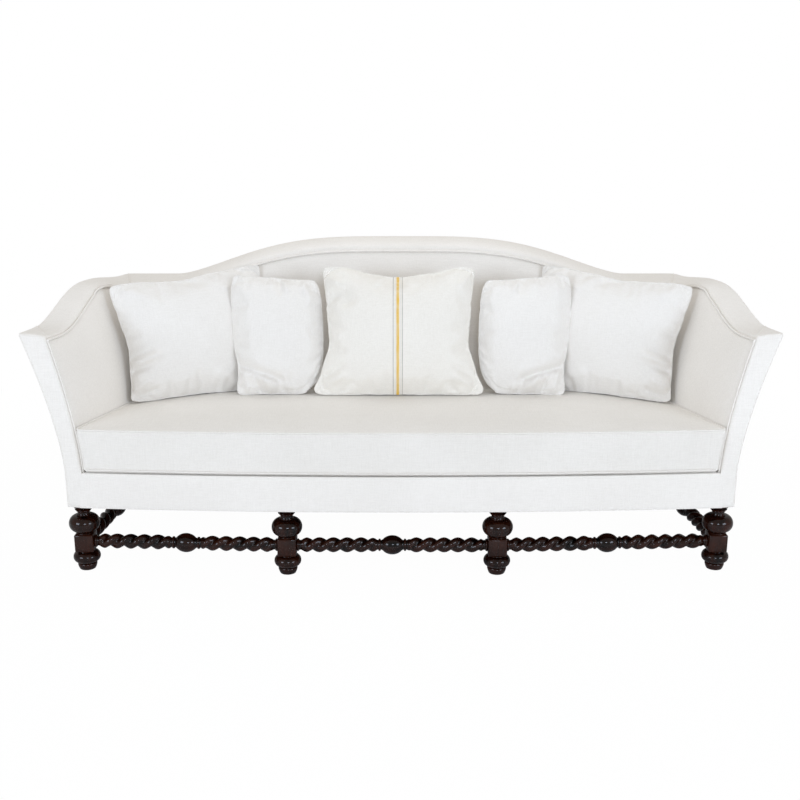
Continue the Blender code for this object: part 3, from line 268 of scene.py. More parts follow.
jute = Finish("jute_straps")
warp = jute.node("ShaderNodeTexWave", {"bands_direction": "X"},
                 {"Vector": jute.place(), "Scale": 130.0, "Distortion": 0.6, "Detail": 1.0}, 1)
weft = jute.node("ShaderNodeTexWave", {"bands_direction": "Y"},
                 {"Vector": jute.place(), "Scale": 130.0, "Distortion": 0.6, "Detail": 1.0}, 1)
jute_fibre = jute.speckle(jute.place((40.0, 40.0, 40.0)), 6.0, 3.0)
jute_weave = warp * weft * 0.7 + jute_fibre * 0.3
jute.surface(Base_Color=jute.ramp(jute_weave, (0.10, (0.24, 0.16, 0.085)), (0.75, (0.56, 0.42, 0.26))),
             Roughness=0.85 + 0.1 * jute_fibre, Normal=jute.raised(jute_weave, 0.0008, 0.7))
give(jute.material, "seat_webbing")

cambric = Finish("cambric_cloth")
cambric_weave = cambric.speckle(cambric.place((1.0, 6.0, 1.0)), 160.0, 2.0)
cambric_creases = cambric.speckle(cambric.place((1.0, 1.0, 1.0)), 5.0, 3.0)
cambric.surface(Base_Color=cambric.ramp(cambric_weave * 0.6 + cambric_creases * 0.4,
                                        (0.25, (0.010, 0.010, 0.011)), (0.75, (0.035, 0.034, 0.034))),
                Roughness=0.8 + 0.15 * cambric_weave,
                Normal=cambric.raised(cambric_weave * 0.3 + cambric_creases, 0.0008, 0.5))
give(cambric.material, "dust_cover")


# ---- The legs ---------------------------------------------------------------------------------
# Eight legs, turned from one billet each: a small foot, a bun, a square block that is left for the
# stretchers, a ball and a ringed collar. Stained almost black and polished. The swells are redder:
# partly rubbed wear, partly a painted highlight where the light falls on them.

LEG_HEIGHT = 0.238
FOOT_HEIGHT = 0.026
BUN_HEIGHT = 0.043
BLOCK_HEIGHT = 0.063
BLOCK_HALF = 0.0325
BUN_RADIUS = 0.0462
BALL_HEIGHT = 0.0585
BALL_RADIUS = 0.0524
BLOCK_BEVEL = 0.0062
NECK_RADIUS = 0.0260
COLLAR_RADIUS = 0.0388
LEG_STEPS = 56
MERGE_DISTANCE = 0.00002
FIT_GAP = 0.0003


def ease(amount):
    """A smooth step from 0 to 1."""
    held = min(max(amount, 0.0), 1.0)
    return held * held * (3.0 - 2.0 * held)


def mix(first, second, amount):
    return first + (second - first) * amount


def polished_wood(name, along):
    wood = Finish(name)
    grain = {"x": (3.0, 40.0, 40.0), "y": (40.0, 3.0, 40.0), "z": (40.0, 40.0, 3.0)}[along]
    figure = wood.speckle(wood.place(grain), 1.6, 5.0, 0.6)
    clouds = wood.speckle(wood.place(), 14.0, 3.0)
    swell = wood.node("ShaderNodeNewGeometry", {}, {}, "Pointiness")
    # Redder on the convex swells: partly rubbed wear, partly a painted highlight.
    rubbed_and_highlight = wood.node("ShaderNodeMapRange", {}, {"Value": swell, 1: 0.49, 2: 0.56})
    tone = figure * 0.45 + clouds * 0.40 + rubbed_and_highlight * 0.12
    colour = wood.ramp(tone, (0.36, (0.0006, 0.0004, 0.0003)), (0.78, (0.050, 0.0110, 0.0042)),
                       (0.54, (0.0026, 0.0011, 0.0008)))
    wood.surface(Base_Color=colour, Roughness=0.20 + 0.16 * figure, Specular_IOR_Level=0.05,
                 Coat_Weight=0.50, Coat_Roughness=0.06, Normal=wood.raised(figure, 0.0005, 0.25))
    return wood.material


def add_piece(name, shape, finish, body, replaced=(), sharp=40.0):
    """Makes a finished shape a piece of the sofa that rides on a body."""
    mesh = bpy.data.meshes.new(name)
    shape.to_mesh(mesh)
    shape.free()
    mesh.materials.append(finish)
    mesh.shade_smooth()
    mesh.set_sharp_from_angle(angle=math.radians(sharp))
    made = bpy.data.objects.new(name, mesh)
    scene.collection.objects.link(made)
    if replaced:
        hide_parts(*replaced)
    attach(made, body)
    return made


def swelling(bottom, height, radius, end_radius, steps):
    """The outline of a ball or a bun between two narrow ends, as radii and heights."""
    outline = []
    for step in range(steps + 1):
        angle = math.pi * step / steps
        outline.append((mix(end_radius, radius, math.sin(angle) ** 0.85),
                        bottom + height * (1.0 - math.cos(angle)) / 2))
    return outline


def bead(middle, radius, reach, half):
    """The outline of a small turned ring."""
    angles = [math.pi * step / 6 for step in range(7)]
    return [(mix(radius, reach, math.sin(angle)), middle - half * math.cos(angle)) for angle in angles]


def turned(shape, outline):
    """Spins an outline of radii and heights round the upright line through the origin."""
    points = [shape.verts.new((radius, 0.0, height)) for radius, height in outline]
    edges = [shape.edges.new(pair) for pair in zip(points, points[1:])]
    bmesh.ops.spin(shape, geom=points + edges, axis=(0.0, 0.0, 1.0), cent=(0.0, 0.0, 0.0),
                   angle=2.0 * math.pi, steps=LEG_STEPS, use_merge=True)
    bmesh.ops.remove_doubles(shape, verts=shape.verts, dist=MERGE_DISTANCE)


def leg_shape():
    shape = bmesh.new()
    block_bottom = FOOT_HEIGHT + BUN_HEIGHT
    block_top = block_bottom + BLOCK_HEIGHT
    foot = [(0.0, 0.0), (0.0250, 0.0), (0.0272, 0.0010), (0.0290, 0.0045), (0.0312, 0.0105),
            (0.0328, 0.0165), (0.0325, 0.0208), (0.0300, 0.0240), (0.0255, 0.0256)]
    bun = swelling(FOOT_HEIGHT + 0.0003, BUN_HEIGHT - 0.0050, BUN_RADIUS, 0.0258, 18)
    under_ring = bead(block_bottom - 0.0022, 0.0270, 0.0305, 0.0022)
    turned(shape, foot + bun + under_ring + [(NECK_RADIUS, block_bottom + 0.0006),
                                             (0.0, block_bottom + 0.0006)])
    ball_bottom = block_top + 0.0075
    upper_ring = bead(block_top + 0.0028, 0.0265, 0.0312, 0.0028)
    ball = swelling(ball_bottom, BALL_HEIGHT, BALL_RADIUS, 0.0226, 24)
    neck_bottom = ball_bottom + BALL_HEIGHT
    neck = LEG_HEIGHT - neck_bottom
    collar = bead(neck_bottom + neck * 0.07, 0.0222, 0.0250, neck * 0.06)
    collar += [(0.0210, neck_bottom + neck * 0.20), (0.0208, neck_bottom + neck * 0.32)]
    collar += bead(neck_bottom + neck * 0.42, 0.0222, 0.0248, neck * 0.055)
    collar += bead(neck_bottom + neck * 0.56, 0.0255, 0.0292, neck * 0.055)
    collar += [(0.0285, neck_bottom + neck * 0.66), (0.0325, neck_bottom + neck * 0.78),
               (0.0362, neck_bottom + neck * 0.88), (COLLAR_RADIUS, LEG_HEIGHT - 0.0030),
               (COLLAR_RADIUS, LEG_HEIGHT), (0.0, LEG_HEIGHT)]
    turned(shape, [(0.0, block_top - 0.0006), (NECK_RADIUS, block_top - 0.0006)] + upper_ring + ball
           + collar)
    bmesh.ops.recalc_face_normals(shape, faces=shape.faces)
    block = bmesh.ops.create_cube(shape, size=2.0 * BLOCK_HALF)["verts"]
    bmesh.ops.translate(shape, verts=block, vec=(0.0, 0.0, block_bottom + BLOCK_HEIGHT / 2))
    edges = list({edge for vertex in block for edge in vertex.link_edges})
    bmesh.ops.bevel(shape, geom=edges, offset=BLOCK_BEVEL, segments=3, profile=0.5, affect="EDGES",
                    material=-1)
    return shape


leg_finish = polished_wood("dark_turned_legs", "z")
leg_middles = {}
for row in ("front", "rear"):
    for word in ("left", "inner_left", "inner_right", "right"):
        node = f"{row}_leg_{word}"
        low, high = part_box(node)
        leg_middles[row, word] = Vector(((low.x + high.x) / 2, (low.y + high.y) / 2, 0.0))
        shape = leg_shape()
        bmesh.ops.translate(shape, verts=shape.verts, vec=leg_middles[row, word])
        add_piece(f"turned_{row}_leg_{word}", shape, leg_finish, "frame", (node,))


# ---- The stretchers ---------------------------------------------------------------------------
# Eight rope-twist rails between the blocks, turned and carved by hand: two strands that wind to the
# left, a ball between rings in the middle and a ring at each end. They are tenoned into the blocks.

AXIS_HEIGHT = 0.101
TWIST_PITCH = 0.0475
STRAND_OFFSET = 0.0092
STRAND_RADIUS = 0.0166
RING_LENGTH = 0.008
MIDDLE_BALL_RADIUS = 0.033
MIDDLE_BALL_LENGTHENING = 1.22
COVE_RADIUS = 0.0168
STRETCHER_SIDES = 32
STRETCHER_START = BLOCK_HALF + FIT_GAP


def strand_reach(around):
    """How far two round strands that lie side by side reach out, at an angle round them."""
    across = STRAND_OFFSET * math.sin(around)
    return STRAND_OFFSET * abs(math.cos(around)) + math.sqrt(STRAND_RADIUS ** 2 - across ** 2)


def stretcher_outline(length):
    """Distance along the stretcher, radius there, and how much of the twist shows there."""
    half = length / 2
    ball_start = math.asin(COVE_RADIUS / MIDDLE_BALL_RADIUS)
    ball_reach = MIDDLE_BALL_RADIUS * MIDDLE_BALL_LENGTHENING
    ball_half = ball_reach * math.cos(ball_start)
    first = RING_LENGTH * 1.7
    last = half - ball_half - RING_LENGTH * 1.9
    outline = [(0.0, 0.0, 0.0), (0.0, 0.0190, 0.0)]
    outline += [(RING_LENGTH * step / 6, mix(0.0185, 0.0218, math.sin(math.pi * step / 6) ** 0.7),
                 0.0) for step in range(7)]
    outline += [(RING_LENGTH * 1.14, 0.0172, 0.0), (RING_LENGTH * 1.35, COVE_RADIUS, 0.0)]
    steps = round((last - first) / 0.0032)
    for step in range(steps + 1):
        distance = mix(first, last, step / steps)
        from_end = min(distance - first, last - distance)
        bulb = mix(COVE_RADIUS, 0.0208, ease(from_end / 0.009))
        outline.append((distance, bulb, ease((from_end - 0.003) / 0.020)))
    outline += [(last + RING_LENGTH * 0.25, COVE_RADIUS, 0.0)]
    outline += [(last + RING_LENGTH * (0.78 - 0.48 * math.cos(math.pi * step / 8)),
                 mix(0.0178, 0.0212, math.sin(math.pi * step / 8) ** 0.55), 0.0) for step in range(9)]
    outline += [(last + RING_LENGTH * 1.30, COVE_RADIUS, 0.0),
                (last + RING_LENGTH * 1.60, COVE_RADIUS, 0.0)]
    for step in range(1, 13):
        angle = mix(ball_start, math.pi / 2, step / 12)
        outline.append((half - ball_reach * math.cos(angle),
                        MIDDLE_BALL_RADIUS * math.sin(angle), 0.0))
    return outline + [(length - distance, radius, twist)
                      for distance, radius, twist in reversed(outline[:-1])]


def swept_grid(columns, rows, spot):
    """A grid of columns by rows, with each corner moved to spot(column, row)."""
    shape = bmesh.new()
    bmesh.ops.create_grid(shape, x_segments=columns - 1, y_segments=rows - 1, size=0.5)
    for vertex in shape.verts:
        column = round((vertex.co.x + 0.5) * (columns - 1))
        row = round((vertex.co.y + 0.5) * (rows - 1))
        vertex.co = spot(column, row)
    return shape


def point_outwards(shape):
    """Turns the faces of a closed shape to the outside."""
    bmesh.ops.recalc_face_normals(shape, faces=shape.faces)
    if shape.calc_volume(signed=True) < 0.0:
        bmesh.ops.reverse_faces(shape, faces=shape.faces)


def stretcher(name, start, end, along):
    length = (end - start).dot(along)
    outline = stretcher_outline(length)
    across = Vector((0.0, 0.0, 1.0)).cross(along)
    lean = (end - start) / length

    def spot(column, row):
        distance, radius, twist = outline[column]
        around = 2.0 * math.pi * row / STRETCHER_SIDES
        reach = mix(radius, strand_reach(around + math.pi * distance / TWIST_PITCH), twist)
        return (start + lean * distance
                + (across * math.cos(around) + Vector((0.0, 0.0, math.sin(around)))) * reach)

    shape = swept_grid(len(outline), STRETCHER_SIDES + 1, spot)
    bmesh.ops.remove_doubles(shape, verts=shape.verts, dist=MERGE_DISTANCE)
    point_outwards(shape)
    finish = twist_across if along.x > 0.5 else twist_deep
    add_piece(f"twisted_{name}", shape, finish, "frame", (name,), 60.0)


twist_across = polished_wood("dark_twist_across", "x")
twist_deep = polished_wood("dark_twist_deep", "y")
ALONG = Vector((1.0, 0.0, 0.0))
DEEP = Vector((0.0, 1.0, 0.0))
axis = Vector((0.0, 0.0, AXIS_HEIGHT))
for row in ("front", "rear"):
    stops = ("left", "inner_left", "inner_right", "right")
    for word, first, second in zip(("left", "middle", "right"), stops, stops[1:]):
        stretcher(f"{row}_stretcher_{word}", leg_middles[row, first] + axis + ALONG * STRETCHER_START,
                  leg_middles[row, second] + axis - ALONG * STRETCHER_START, ALONG)
for word in ("left", "right"):
    stretcher(f"side_stretcher_{word}", leg_middles["front", word] + axis + DEEP * STRETCHER_START,
              leg_middles["rear", word] + axis - DEEP * STRETCHER_START, DEEP)


# ---- The seat deck ----------------------------------------------------------------------------
# A padded platform on the webbing, covered in the same linen as the sofa. The loose cushion hides
# it until it is lifted. A seam runs across where the front strip of the cover joins the deck.

DECK_TOP = 0.363
SEAT_TOP = 0.521
FRAME_BOTTOM = 0.2383
SEAM_GAP = 0.0005
COVER_THICKNESS = 0.005
PAD_BACK = 0.026
EDGE_RECESS = 0.008
NEARLY_LEVEL = 0.0003
ARM_FRONT = 0.060
FRONT_BOW = 0.046
INNER_HALF_WIDTH = 1.068
INNER_SPREAD = 0.014
SEAT_BASE_HEIGHT = 0.125
INNER_FLARE = 0.0875
INNER_CORNER_RADIUS = 0.240
SEAT_SPLAY = math.radians(19.0)
TOP_SPLAY = math.radians(14.0)
OUTER_HALF_WIDTH = 1.134
OUTER_FLARE = 0.115
OUTER_CORNER_RADIUS = 0.0365
REAR_HALF_WIDTH = 1.090
REAR_TAPER = 0.030
REAR_DEPTH = 0.785
REAR_LEAN = 0.045
ARM_TIP_HEIGHT = 0.841
ARM_CROWN_HEIGHT = 0.938
CORNER_HEIGHT = 0.914
BACK_CROWN_HEIGHT = 1.058
TURN_PLACE = 0.800
TURN_DEPTH = 0.400
BACK_FACE = 0.555
BACK_RAKE = math.radians(19.0)
CORNER_SHARE = 0.04
MIDDLE_DEPTH = -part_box("front_rail_cover")[0].y


def linen(name, pale, shade, turn=None, crease=0.0):
    """Plain woven flax: slubbed threads both ways, a soft unevenness and a little fuzz."""
    cloth = Finish(name)
    lengthwise = cloth.speckle(cloth.place((26.0, 330.0, 330.0), turn), 1.0, 2.0, 0.6)
    backwards = cloth.speckle(cloth.place((330.0, 26.0, 330.0), turn), 1.0, 2.0, 0.6)
    upright = cloth.speckle(cloth.place((330.0, 330.0, 26.0), turn), 1.0, 2.0, 0.6)
    weave = (lengthwise + backwards + upright) * 0.3333
    fuzz = cloth.speckle(cloth.place(), 900.0, 1.0)
    clouds = cloth.speckle(cloth.place(), 3.0, 2.0)
    tone = weave * 0.75 + clouds * 0.25
    relief = weave + fuzz * 0.25
    if crease:
        relief = relief + cloth.speckle(cloth.place((1.0, 1.0, 0.6), turn), 26.0, 3.0, 0.55) * crease
    cloth.surface(Base_Color=cloth.ramp(tone, (0.38, shade), (0.60, pale)),
                  Roughness=0.80 + 0.15 * fuzz, Sheen_Weight=0.12, Sheen_Roughness=0.5,
                  Specular_IOR_Level=0.25, Normal=cloth.raised(relief, 0.0014, 0.35))
    return cloth


PALE_LINEN = (0.860, 0.822, 0.768)
SHADE_LINEN = (0.780, 0.740, 0.684)
sofa_linen = linen("off_white_linen", PALE_LINEN, SHADE_LINEN).material


def bow(x):
    """How far the seat's front edge falls back at x."""
    return FRONT_BOW * (x / OUTER_HALF_WIDTH) ** 2


def flare_at(height):
    return (max(height - DECK_TOP, 0.0) / (ARM_TIP_HEIGHT - DECK_TOP)) ** 1.5


def bent_line(start, corner, radius):
    """A plan line from the arm's front round a corner and along the back."""
    along = (corner - start).normalized()
    turn = math.atan2(along.y, -along.x)
    tangent = radius * math.tan(turn / 2)
    inward = Vector((-along.y, along.x))
    return (start, along, inward, turn, corner - along * tangent, corner - Vector((tangent, 0.0)),
            radius)


def meet(line, inset, origin, direction):
    """Where a plan ray meets a bent line, or the line at an inset behind it."""
    start, along, inward, turn, bend_start, bend_end, radius = line
    edge = start + inward * inset
    slant = inward.dot(direction)
    if abs(slant) > NEARLY_LEVEL:
        point = origin + direction * (inward.dot(edge - origin) / slant)
        if (point - bend_start).dot(along) <= 0.0 and (point - origin).dot(direction) > 0.0:
            return point
    if direction.y > NEARLY_LEVEL:
        point = origin + direction * ((bend_end.y - inset - origin.y) / direction.y)
        if point.x <= bend_end.x:
            return point
    centre = bend_start + inward * radius
    offset = origin - centre
    half = offset.dot(direction)
    root = half * half - offset.length_squared + (radius - inset) ** 2
    return origin + direction * (math.sqrt(max(root, 0.0)) - half)


def inner_line(height):
    """The inner face of the arm and the back in plan, with its rounded corner."""
    half_width = INNER_HALF_WIDTH + INNER_SPREAD * max(DECK_TOP - height, 0.0) / SEAT_BASE_HEIGHT
    half_width += INNER_FLARE * flare_at(height)
    amount = ease((height - SEAT_TOP) / (ARM_CROWN_HEIGHT - SEAT_TOP))
    splay = mix(SEAT_SPLAY, TOP_SPLAY, amount)
    back = BACK_FACE + max(height - SEAT_TOP, 0.0) * math.tan(BACK_RAKE)
    corner = Vector((half_width - (back - ARM_FRONT) * math.tan(splay), back))
    return bent_line(Vector((half_width, ARM_FRONT)), corner, INNER_CORNER_RADIUS)


def outer_line(height):
    """The outer face of the arm and the back in plan, with its tight corner."""
    rise = (height - LEG_HEIGHT) / (BACK_CROWN_HEIGHT - LEG_HEIGHT)
    corner = Vector((REAR_HALF_WIDTH - REAR_TAPER * rise, REAR_DEPTH + REAR_LEAN * rise))
    start = Vector((OUTER_HALF_WIDTH + OUTER_FLARE * flare_at(height), ARM_FRONT))
    return bent_line(start, corner, OUTER_CORNER_RADIUS)


def inner_point(station, height):
    """A plan point of the inner face. Stations 0 to 1 are the arm, 1 to 2 the corner and 2 to 3 the
    back, up to its middle."""
    line = inner_line(height)
    if station <= 1.0:
        depth = mix(ARM_FRONT, TURN_DEPTH, station)
        return meet(line, 0.0, Vector((0.0, depth)), Vector((1.0, 0.0)))
    if station < 2.0:
        angle = math.pi / 2 * (station - 1.0)
        return meet(line, 0.0, Vector((TURN_PLACE, TURN_DEPTH)),
                    Vector((math.cos(angle), math.sin(angle))))
    return meet(line, 0.0, Vector((TURN_PLACE * (3.0 - station), 0.0)), Vector((0.0, 1.0)))


def outer_point(station, height):
    """The plan point of the outer face that lies across the wall from the inner one."""
    line = outer_line(height)
    inward, turn, bend_start, bend_end, radius = line[2:]
    if station <= 1.0:
        depth = mix(ARM_FRONT, TURN_DEPTH, station)
        return meet(line, 0.0, Vector((0.0, depth)), Vector((1.0, 0.0)))
    if station < 1.5 - CORNER_SHARE:
        return outer_point(1.0, height).lerp(bend_start, (station - 1.0) / (0.5 - CORNER_SHARE))
    if station <= 1.5 + CORNER_SHARE:
        angle = turn * (station - 1.5 + CORNER_SHARE) / (2.0 * CORNER_SHARE)
        return bend_start + inward * radius + Matrix.Rotation(angle, 2) @ -inward * radius
    if station < 2.0:
        amount = (station - 1.5 - CORNER_SHARE) / (0.5 - CORNER_SHARE)
        return Vector((mix(bend_end.x, TURN_PLACE, amount), bend_end.y))
    return Vector((TURN_PLACE * (3.0 - station), bend_end.y))


def behind(station, height, inset):
    """A plan point at an inset behind the outer face, on the way in."""
    inner = inner_point(station, height)
    outer = outer_point(station, height)
    return meet(outer_line(height), inset, inner, (outer - inner).normalized())


def width_along(line, depth):
    """Half the width between the walls at a depth, from points along one of them."""
    for first, second in zip(line, line[1:]):
        if first.y <= depth <= second.y:
            return mix(first.x, second.x, (depth - first.y) / max(second.y - first.y, NEARLY_LEVEL))
    return line[0].x if depth < line[0].y else line[-1].x


def spread(count, first, last):
    return [mix(first, last, step / (count - 1)) for step in range(count)]


def upholster(name, shape, replaced=(), finish=sofa_linen, body="frame",
              sharp=50.0):
    """Makes a closed shape a padded piece in a cloth."""
    made = add_piece(name, shape, finish, body, replaced, sharp)


def welt(name, points, radius, finish=sofa_linen, body="frame", slot="white_linen", closed=False):
    """A cord in a strip of the cover, sewn into a seam along some points."""
    line = bpy.data.curves.new(name, "CURVE")
    line.dimensions = "3D"
    line.bevel_depth = radius
    line.bevel_resolution = 3
    line.use_fill_caps = True
    run = line.splines.new("POLY")
    run.points.add(len(points) - 1)
    for spot, point in zip(run.points, points):
        spot.co = (*point, 1.0)
    run.use_cyclic_u = closed
    laid = bpy.data.objects.new(name, line)
    mesh = bpy.data.meshes.new_from_object(laid)
    bpy.data.objects.remove(laid)
    mesh.materials.clear()
    mesh.materials.append(finish)
    mesh.shade_smooth()
    made = bpy.data.objects.new(name, mesh)
    scene.collection.objects.link(made)
    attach(made, body)


DECK_SEAM_DEPTH = 0.150
DECK_SEAM_REACH = 1.03
deck_side = [behind(station, DECK_TOP, PAD_BACK) for station in spread(50, 0.0, 2.0)]
deck_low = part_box("seat_deck")[0].z
front_half = inner_point(0.0, DECK_TOP).x + EDGE_RECESS - SEAM_GAP
deck_rows = [(COVER_THICKNESS + SEAM_GAP, front_half), (0.02, front_half), (0.04, front_half),
             (ARM_FRONT - 0.001, front_half), (ARM_FRONT + SEAM_GAP, deck_side[0].x)]
deck_rows += [(depth, width_along(deck_side, depth)) for depth in spread(30, 0.07, deck_side[-1].y)]


def deck_spot(column, row):
    depth, half_width = deck_rows[row]
    share = mix(-1.0, 1.0, column / 60)
    x = share * half_width
    y = depth + bow(x) * max(1.0 - (depth - COVER_THICKNESS) / 0.055, 0.0)
    rounding = 0.004 * max(1.0 - row / 3.0, 0.0) ** 2
    return Vector((x, y - MIDDLE_DEPTH, DECK_TOP - rounding))


def drawn_out(shape):
    """Draws the faces of an open sheet out, to give it a thickness, and returns the new corners."""
    grown = bmesh.ops.extrude_face_region(shape, geom=list(shape.faces))
    return [item for item in grown["geom"] if isinstance(item, bmesh.types.BMVert)]


deck = swept_grid(61, len(deck_rows), deck_spot)
for corner in drawn_out(deck):
    corner.co.z = deck_low
point_outwards(deck)
upholster("padded_deck", deck, ("seat_deck",))
deck_seam = [Vector((x, bow(x) * 0.4 + DECK_SEAM_DEPTH - MIDDLE_DEPTH, DECK_TOP - 0.0012))
             for x in spread(80, -DECK_SEAM_REACH, DECK_SEAM_REACH)]
welt("deck_seam", deck_seam, 0.0014)


# ---- The padded arms and back -----------------------------------------------------------------
# Stuffed inside faces in linen, one for each arm and one for the back, pulled over the frame and
# stapled. They turn in at the top and the front, where a welt hides the tacks.

BORDER_THICKNESS = 0.010
ARM_DEPTH = 0.725
RISE_START = 0.095
RISE_LENGTH = 0.512
FALL_START = 0.662
FALL_LENGTH = 0.331
CAMEL_REACH = 0.860
ARM_BORDER_RISE = 0.014
CORNER_BORDER_RISE = 0.004
BACK_BORDER_RISE = 0.036
STUFFING_RISE = 0.006


def crown_height(station):
    """The top line: a rising arm, a falling corner and a camel back."""
    if station <= 1.5:
        share = (outer_point(station, CORNER_HEIGHT).y - ARM_FRONT) / ARM_DEPTH
        top = mix(ARM_TIP_HEIGHT, ARM_CROWN_HEIGHT, ease((share - RISE_START) / RISE_LENGTH))
        return mix(top, CORNER_HEIGHT, ease((share - FALL_START) / FALL_LENGTH))
    amount = max(1.0 - outer_point(station, CORNER_HEIGHT).x / CAMEL_REACH, 0.0)
    return mix(CORNER_HEIGHT, BACK_CROWN_HEIGHT, 1.0 - (1.0 - amount ** 1.5) ** 4.2)


def border_rise(station):
    """How far the border rises from its inner edge to its outer edge."""
    if station <= 1.5:
        return mix(ARM_BORDER_RISE, CORNER_BORDER_RISE, ease(2.0 * (station - 1.0)))
    return mix(CORNER_BORDER_RISE, BACK_BORDER_RISE, ease(2.0 * (station - 1.5)))


def top_height(station, place):
    """The top of the wall at a place from its inner edge, 0, to its outer edge, 1."""
    inner_share = 1.0 - min(max(place, 0.0), 1.0)
    return crown_height(station) - border_rise(station) * (1.0 - math.sqrt(1.0 - inner_share ** 2))


def right_half(station):
    """The like station on the right half, and the side that it is on. Stations past 3 lie on the
    left half of the back."""
    return (station, 1.0) if station <= 3.0 else (6.0 - station, -1.0)


def wall_shell(stations, section):
    """A closed length of the wall: a loop of points at each station, and flat ends."""
    loops = []
    for station in stations:
        half, side = right_half(station)
        loops.append([Vector((side * x, y - MIDDLE_DEPTH, z)) for x, y, z in section(half)])
    count = len(loops[0])
    shape = swept_grid(len(loops), count + 1, lambda column, row: loops[column][row % count])
    bmesh.ops.remove_doubles(shape, verts=shape.verts, dist=MERGE_DISTANCE)
    bmesh.ops.holes_fill(shape, edges=[edge for edge in shape.edges if edge.is_boundary], sides=0)
    point_outwards(shape)
    return shape


def mirror_shape(shape, side):
    """The right arm's piece, or its mirror image for the left arm."""
    if side < 0.0:
        bmesh.ops.scale(shape, verts=shape.verts, vec=(-1.0, 1.0, 1.0))
        point_outwards(shape)
    return shape


def quarter(amount):
    """How far a rounded edge has turned in, from 0 to 1."""
    return 1.0 - math.sqrt(1.0 - min(max(amount, 0.0), 1.0) ** 2)


def pad_section(station):
    top = top_height(station, 0.0) - BORDER_THICKNESS - SEAM_GAP
    bottom = DECK_TOP + SEAM_GAP
    loop = []
    for share in spread(44, 0.0, 1.0):
        height = mix(bottom, top, 1.0 - (1.0 - share) ** 1.35)
        flat = inner_point(station, height)
        out = (outer_point(station, height) - flat).normalized()
        turned_in = max(1.0 - (top - height) / 0.040, 0.0) ** 2 + max(1.0 - station / 0.10, 0.0) ** 2
        full = (math.sin(math.pi * min(station / 0.95, 1.0)) ** 0.7 if station < 0.95 else 0.0)
        upwards = min(max((height - SEAT_TOP - 0.01) / (top - SEAT_TOP - 0.01), 0.0), 1.0)
        full *= math.sin(math.pi * upwards) ** 0.7
        move = EDGE_RECESS * quarter(math.sqrt(turned_in)) - STUFFING_RISE * full
        spot = flat + out * move
        loop.append((spot.x, spot.y, height))
    inner_edge = inner_point(station, top)
    outer_edge = outer_point(station, top)
    edge = inner_edge + (outer_edge - inner_edge).normalized() * EDGE_RECESS
    last = behind(station, top, PAD_BACK)
    reach = (last - edge).length / (outer_edge - edge).length
    for share in (0.15, 0.4, 0.7, 1.0):
        spot = edge.lerp(last, share)
        loop.append((spot.x, spot.y, top_height(station, reach * share) - BORDER_THICKNESS - SEAM_GAP))
    for height in (mix(top, bottom, 0.3), mix(top, bottom, 0.65), bottom):
        spot = behind(station, height, PAD_BACK)
        loop.append((spot.x, spot.y, height))
    return loop


ARM_STATIONS = spread(12, 0.0, 0.12) + spread(40, 0.15, 1.44)
CORNER_STATIONS = spread(9, 1.46, 1.4985)
WHOLE_ARM = ARM_STATIONS + CORNER_STATIONS
BACK_STATIONS = spread(9, 1.5015, 1.54) + spread(70, 1.56, 3.0)
WHOLE_BACK = BACK_STATIONS + [6.0 - station for station in reversed(BACK_STATIONS[:-1])]
SIDES = (("left", -1.0), ("right", 1.0))
for word, side in SIDES:
    shape = mirror_shape(wall_shell(WHOLE_ARM, pad_section), side)
    upholster(f"stuffed_arm_{word}", shape, (f"inside_arm_pad_{word}",))
upholster("stuffed_back", wall_shell(WHOLE_BACK, pad_section), ("inside_back_pad",))


# ---- The outside covers -----------------------------------------------------------------------
# Linen over board closes the arms and the back from outside, and the curved front rail. The cloth
# is pulled tight and tacked under the rails.


def cover_section(station):
    top = crown_height(station) - BORDER_THICKNESS - SEAM_GAP
    loop = []
    for share in spread(26, 0.0, 1.0):
        height = mix(FRAME_BOTTOM, top, share)
        turned_in = 0.0025 * quarter(1.0 - min(share, 1.0 - share) * (top - FRAME_BOTTOM) / 0.006)
        spot = behind(station, height, turned_in)
        loop.append((spot.x, spot.y, height))
    for share in spread(12, 1.0, 0.0):
        height = mix(FRAME_BOTTOM, top, share)
        spot = behind(station, height, COVER_THICKNESS)
        loop.append((spot.x, spot.y, height))
    return loop


for word, side in SIDES:
    shape = mirror_shape(wall_shell(WHOLE_ARM, cover_section), side)
    upholster(f"outside_arm_{word}", shape, (f"outside_arm_cover_{word}",))
upholster("outside_back", wall_shell(WHOLE_BACK, cover_section), ("outside_back_cover",))


def rail_spot(column, row):
    height = mix(FRAME_BOTTOM, DECK_TOP, row / 24)
    reach = inner_point(0.0, height).x + EDGE_RECESS + 0.0006
    x = mix(-reach, reach, column / 120)
    y = bow(x) + 0.002 * quarter(1.0 - (height - FRAME_BOTTOM) / 0.006)
    y += 0.0046 * quarter(1.0 - (DECK_TOP - height) / 0.016)
    return Vector((x, y - MIDDLE_DEPTH, height))


rail_cover = swept_grid(121, 25, rail_spot)
for corner in drawn_out(rail_cover):
    corner.co.y = bow(corner.co.x) + COVER_THICKNESS - MIDDLE_DEPTH
point_outwards(rail_cover)
upholster("seat_front", rail_cover, ("front_rail_cover",))


# ---- The arm facings --------------------------------------------------------------------------
# A tapered panel on the front of each arm, padded over board, narrow at the foot and wide at the
# top. A welt runs up its inner edge, between it and the stuffed arm.

FACING_FRONT = 0.0475
FACING_ROUNDING = 0.013
FACING_ROLL = 0.0055
TOP_TURN = 0.011
FACING_ROWS = 66
TURN_ROWS = 8
FLAP_ROWS = 10


def border_edges(station):
    """Plan points on the border's inner and outer edge at a station."""
    inner = inner_point(station, top_height(station, 0.0) - BORDER_THICKNESS - SEAM_GAP)
    outer = outer_point(station, crown_height(station) - BORDER_THICKNESS - SEAM_GAP)
    return inner + (outer - inner).normalized() * EDGE_RECESS, outer


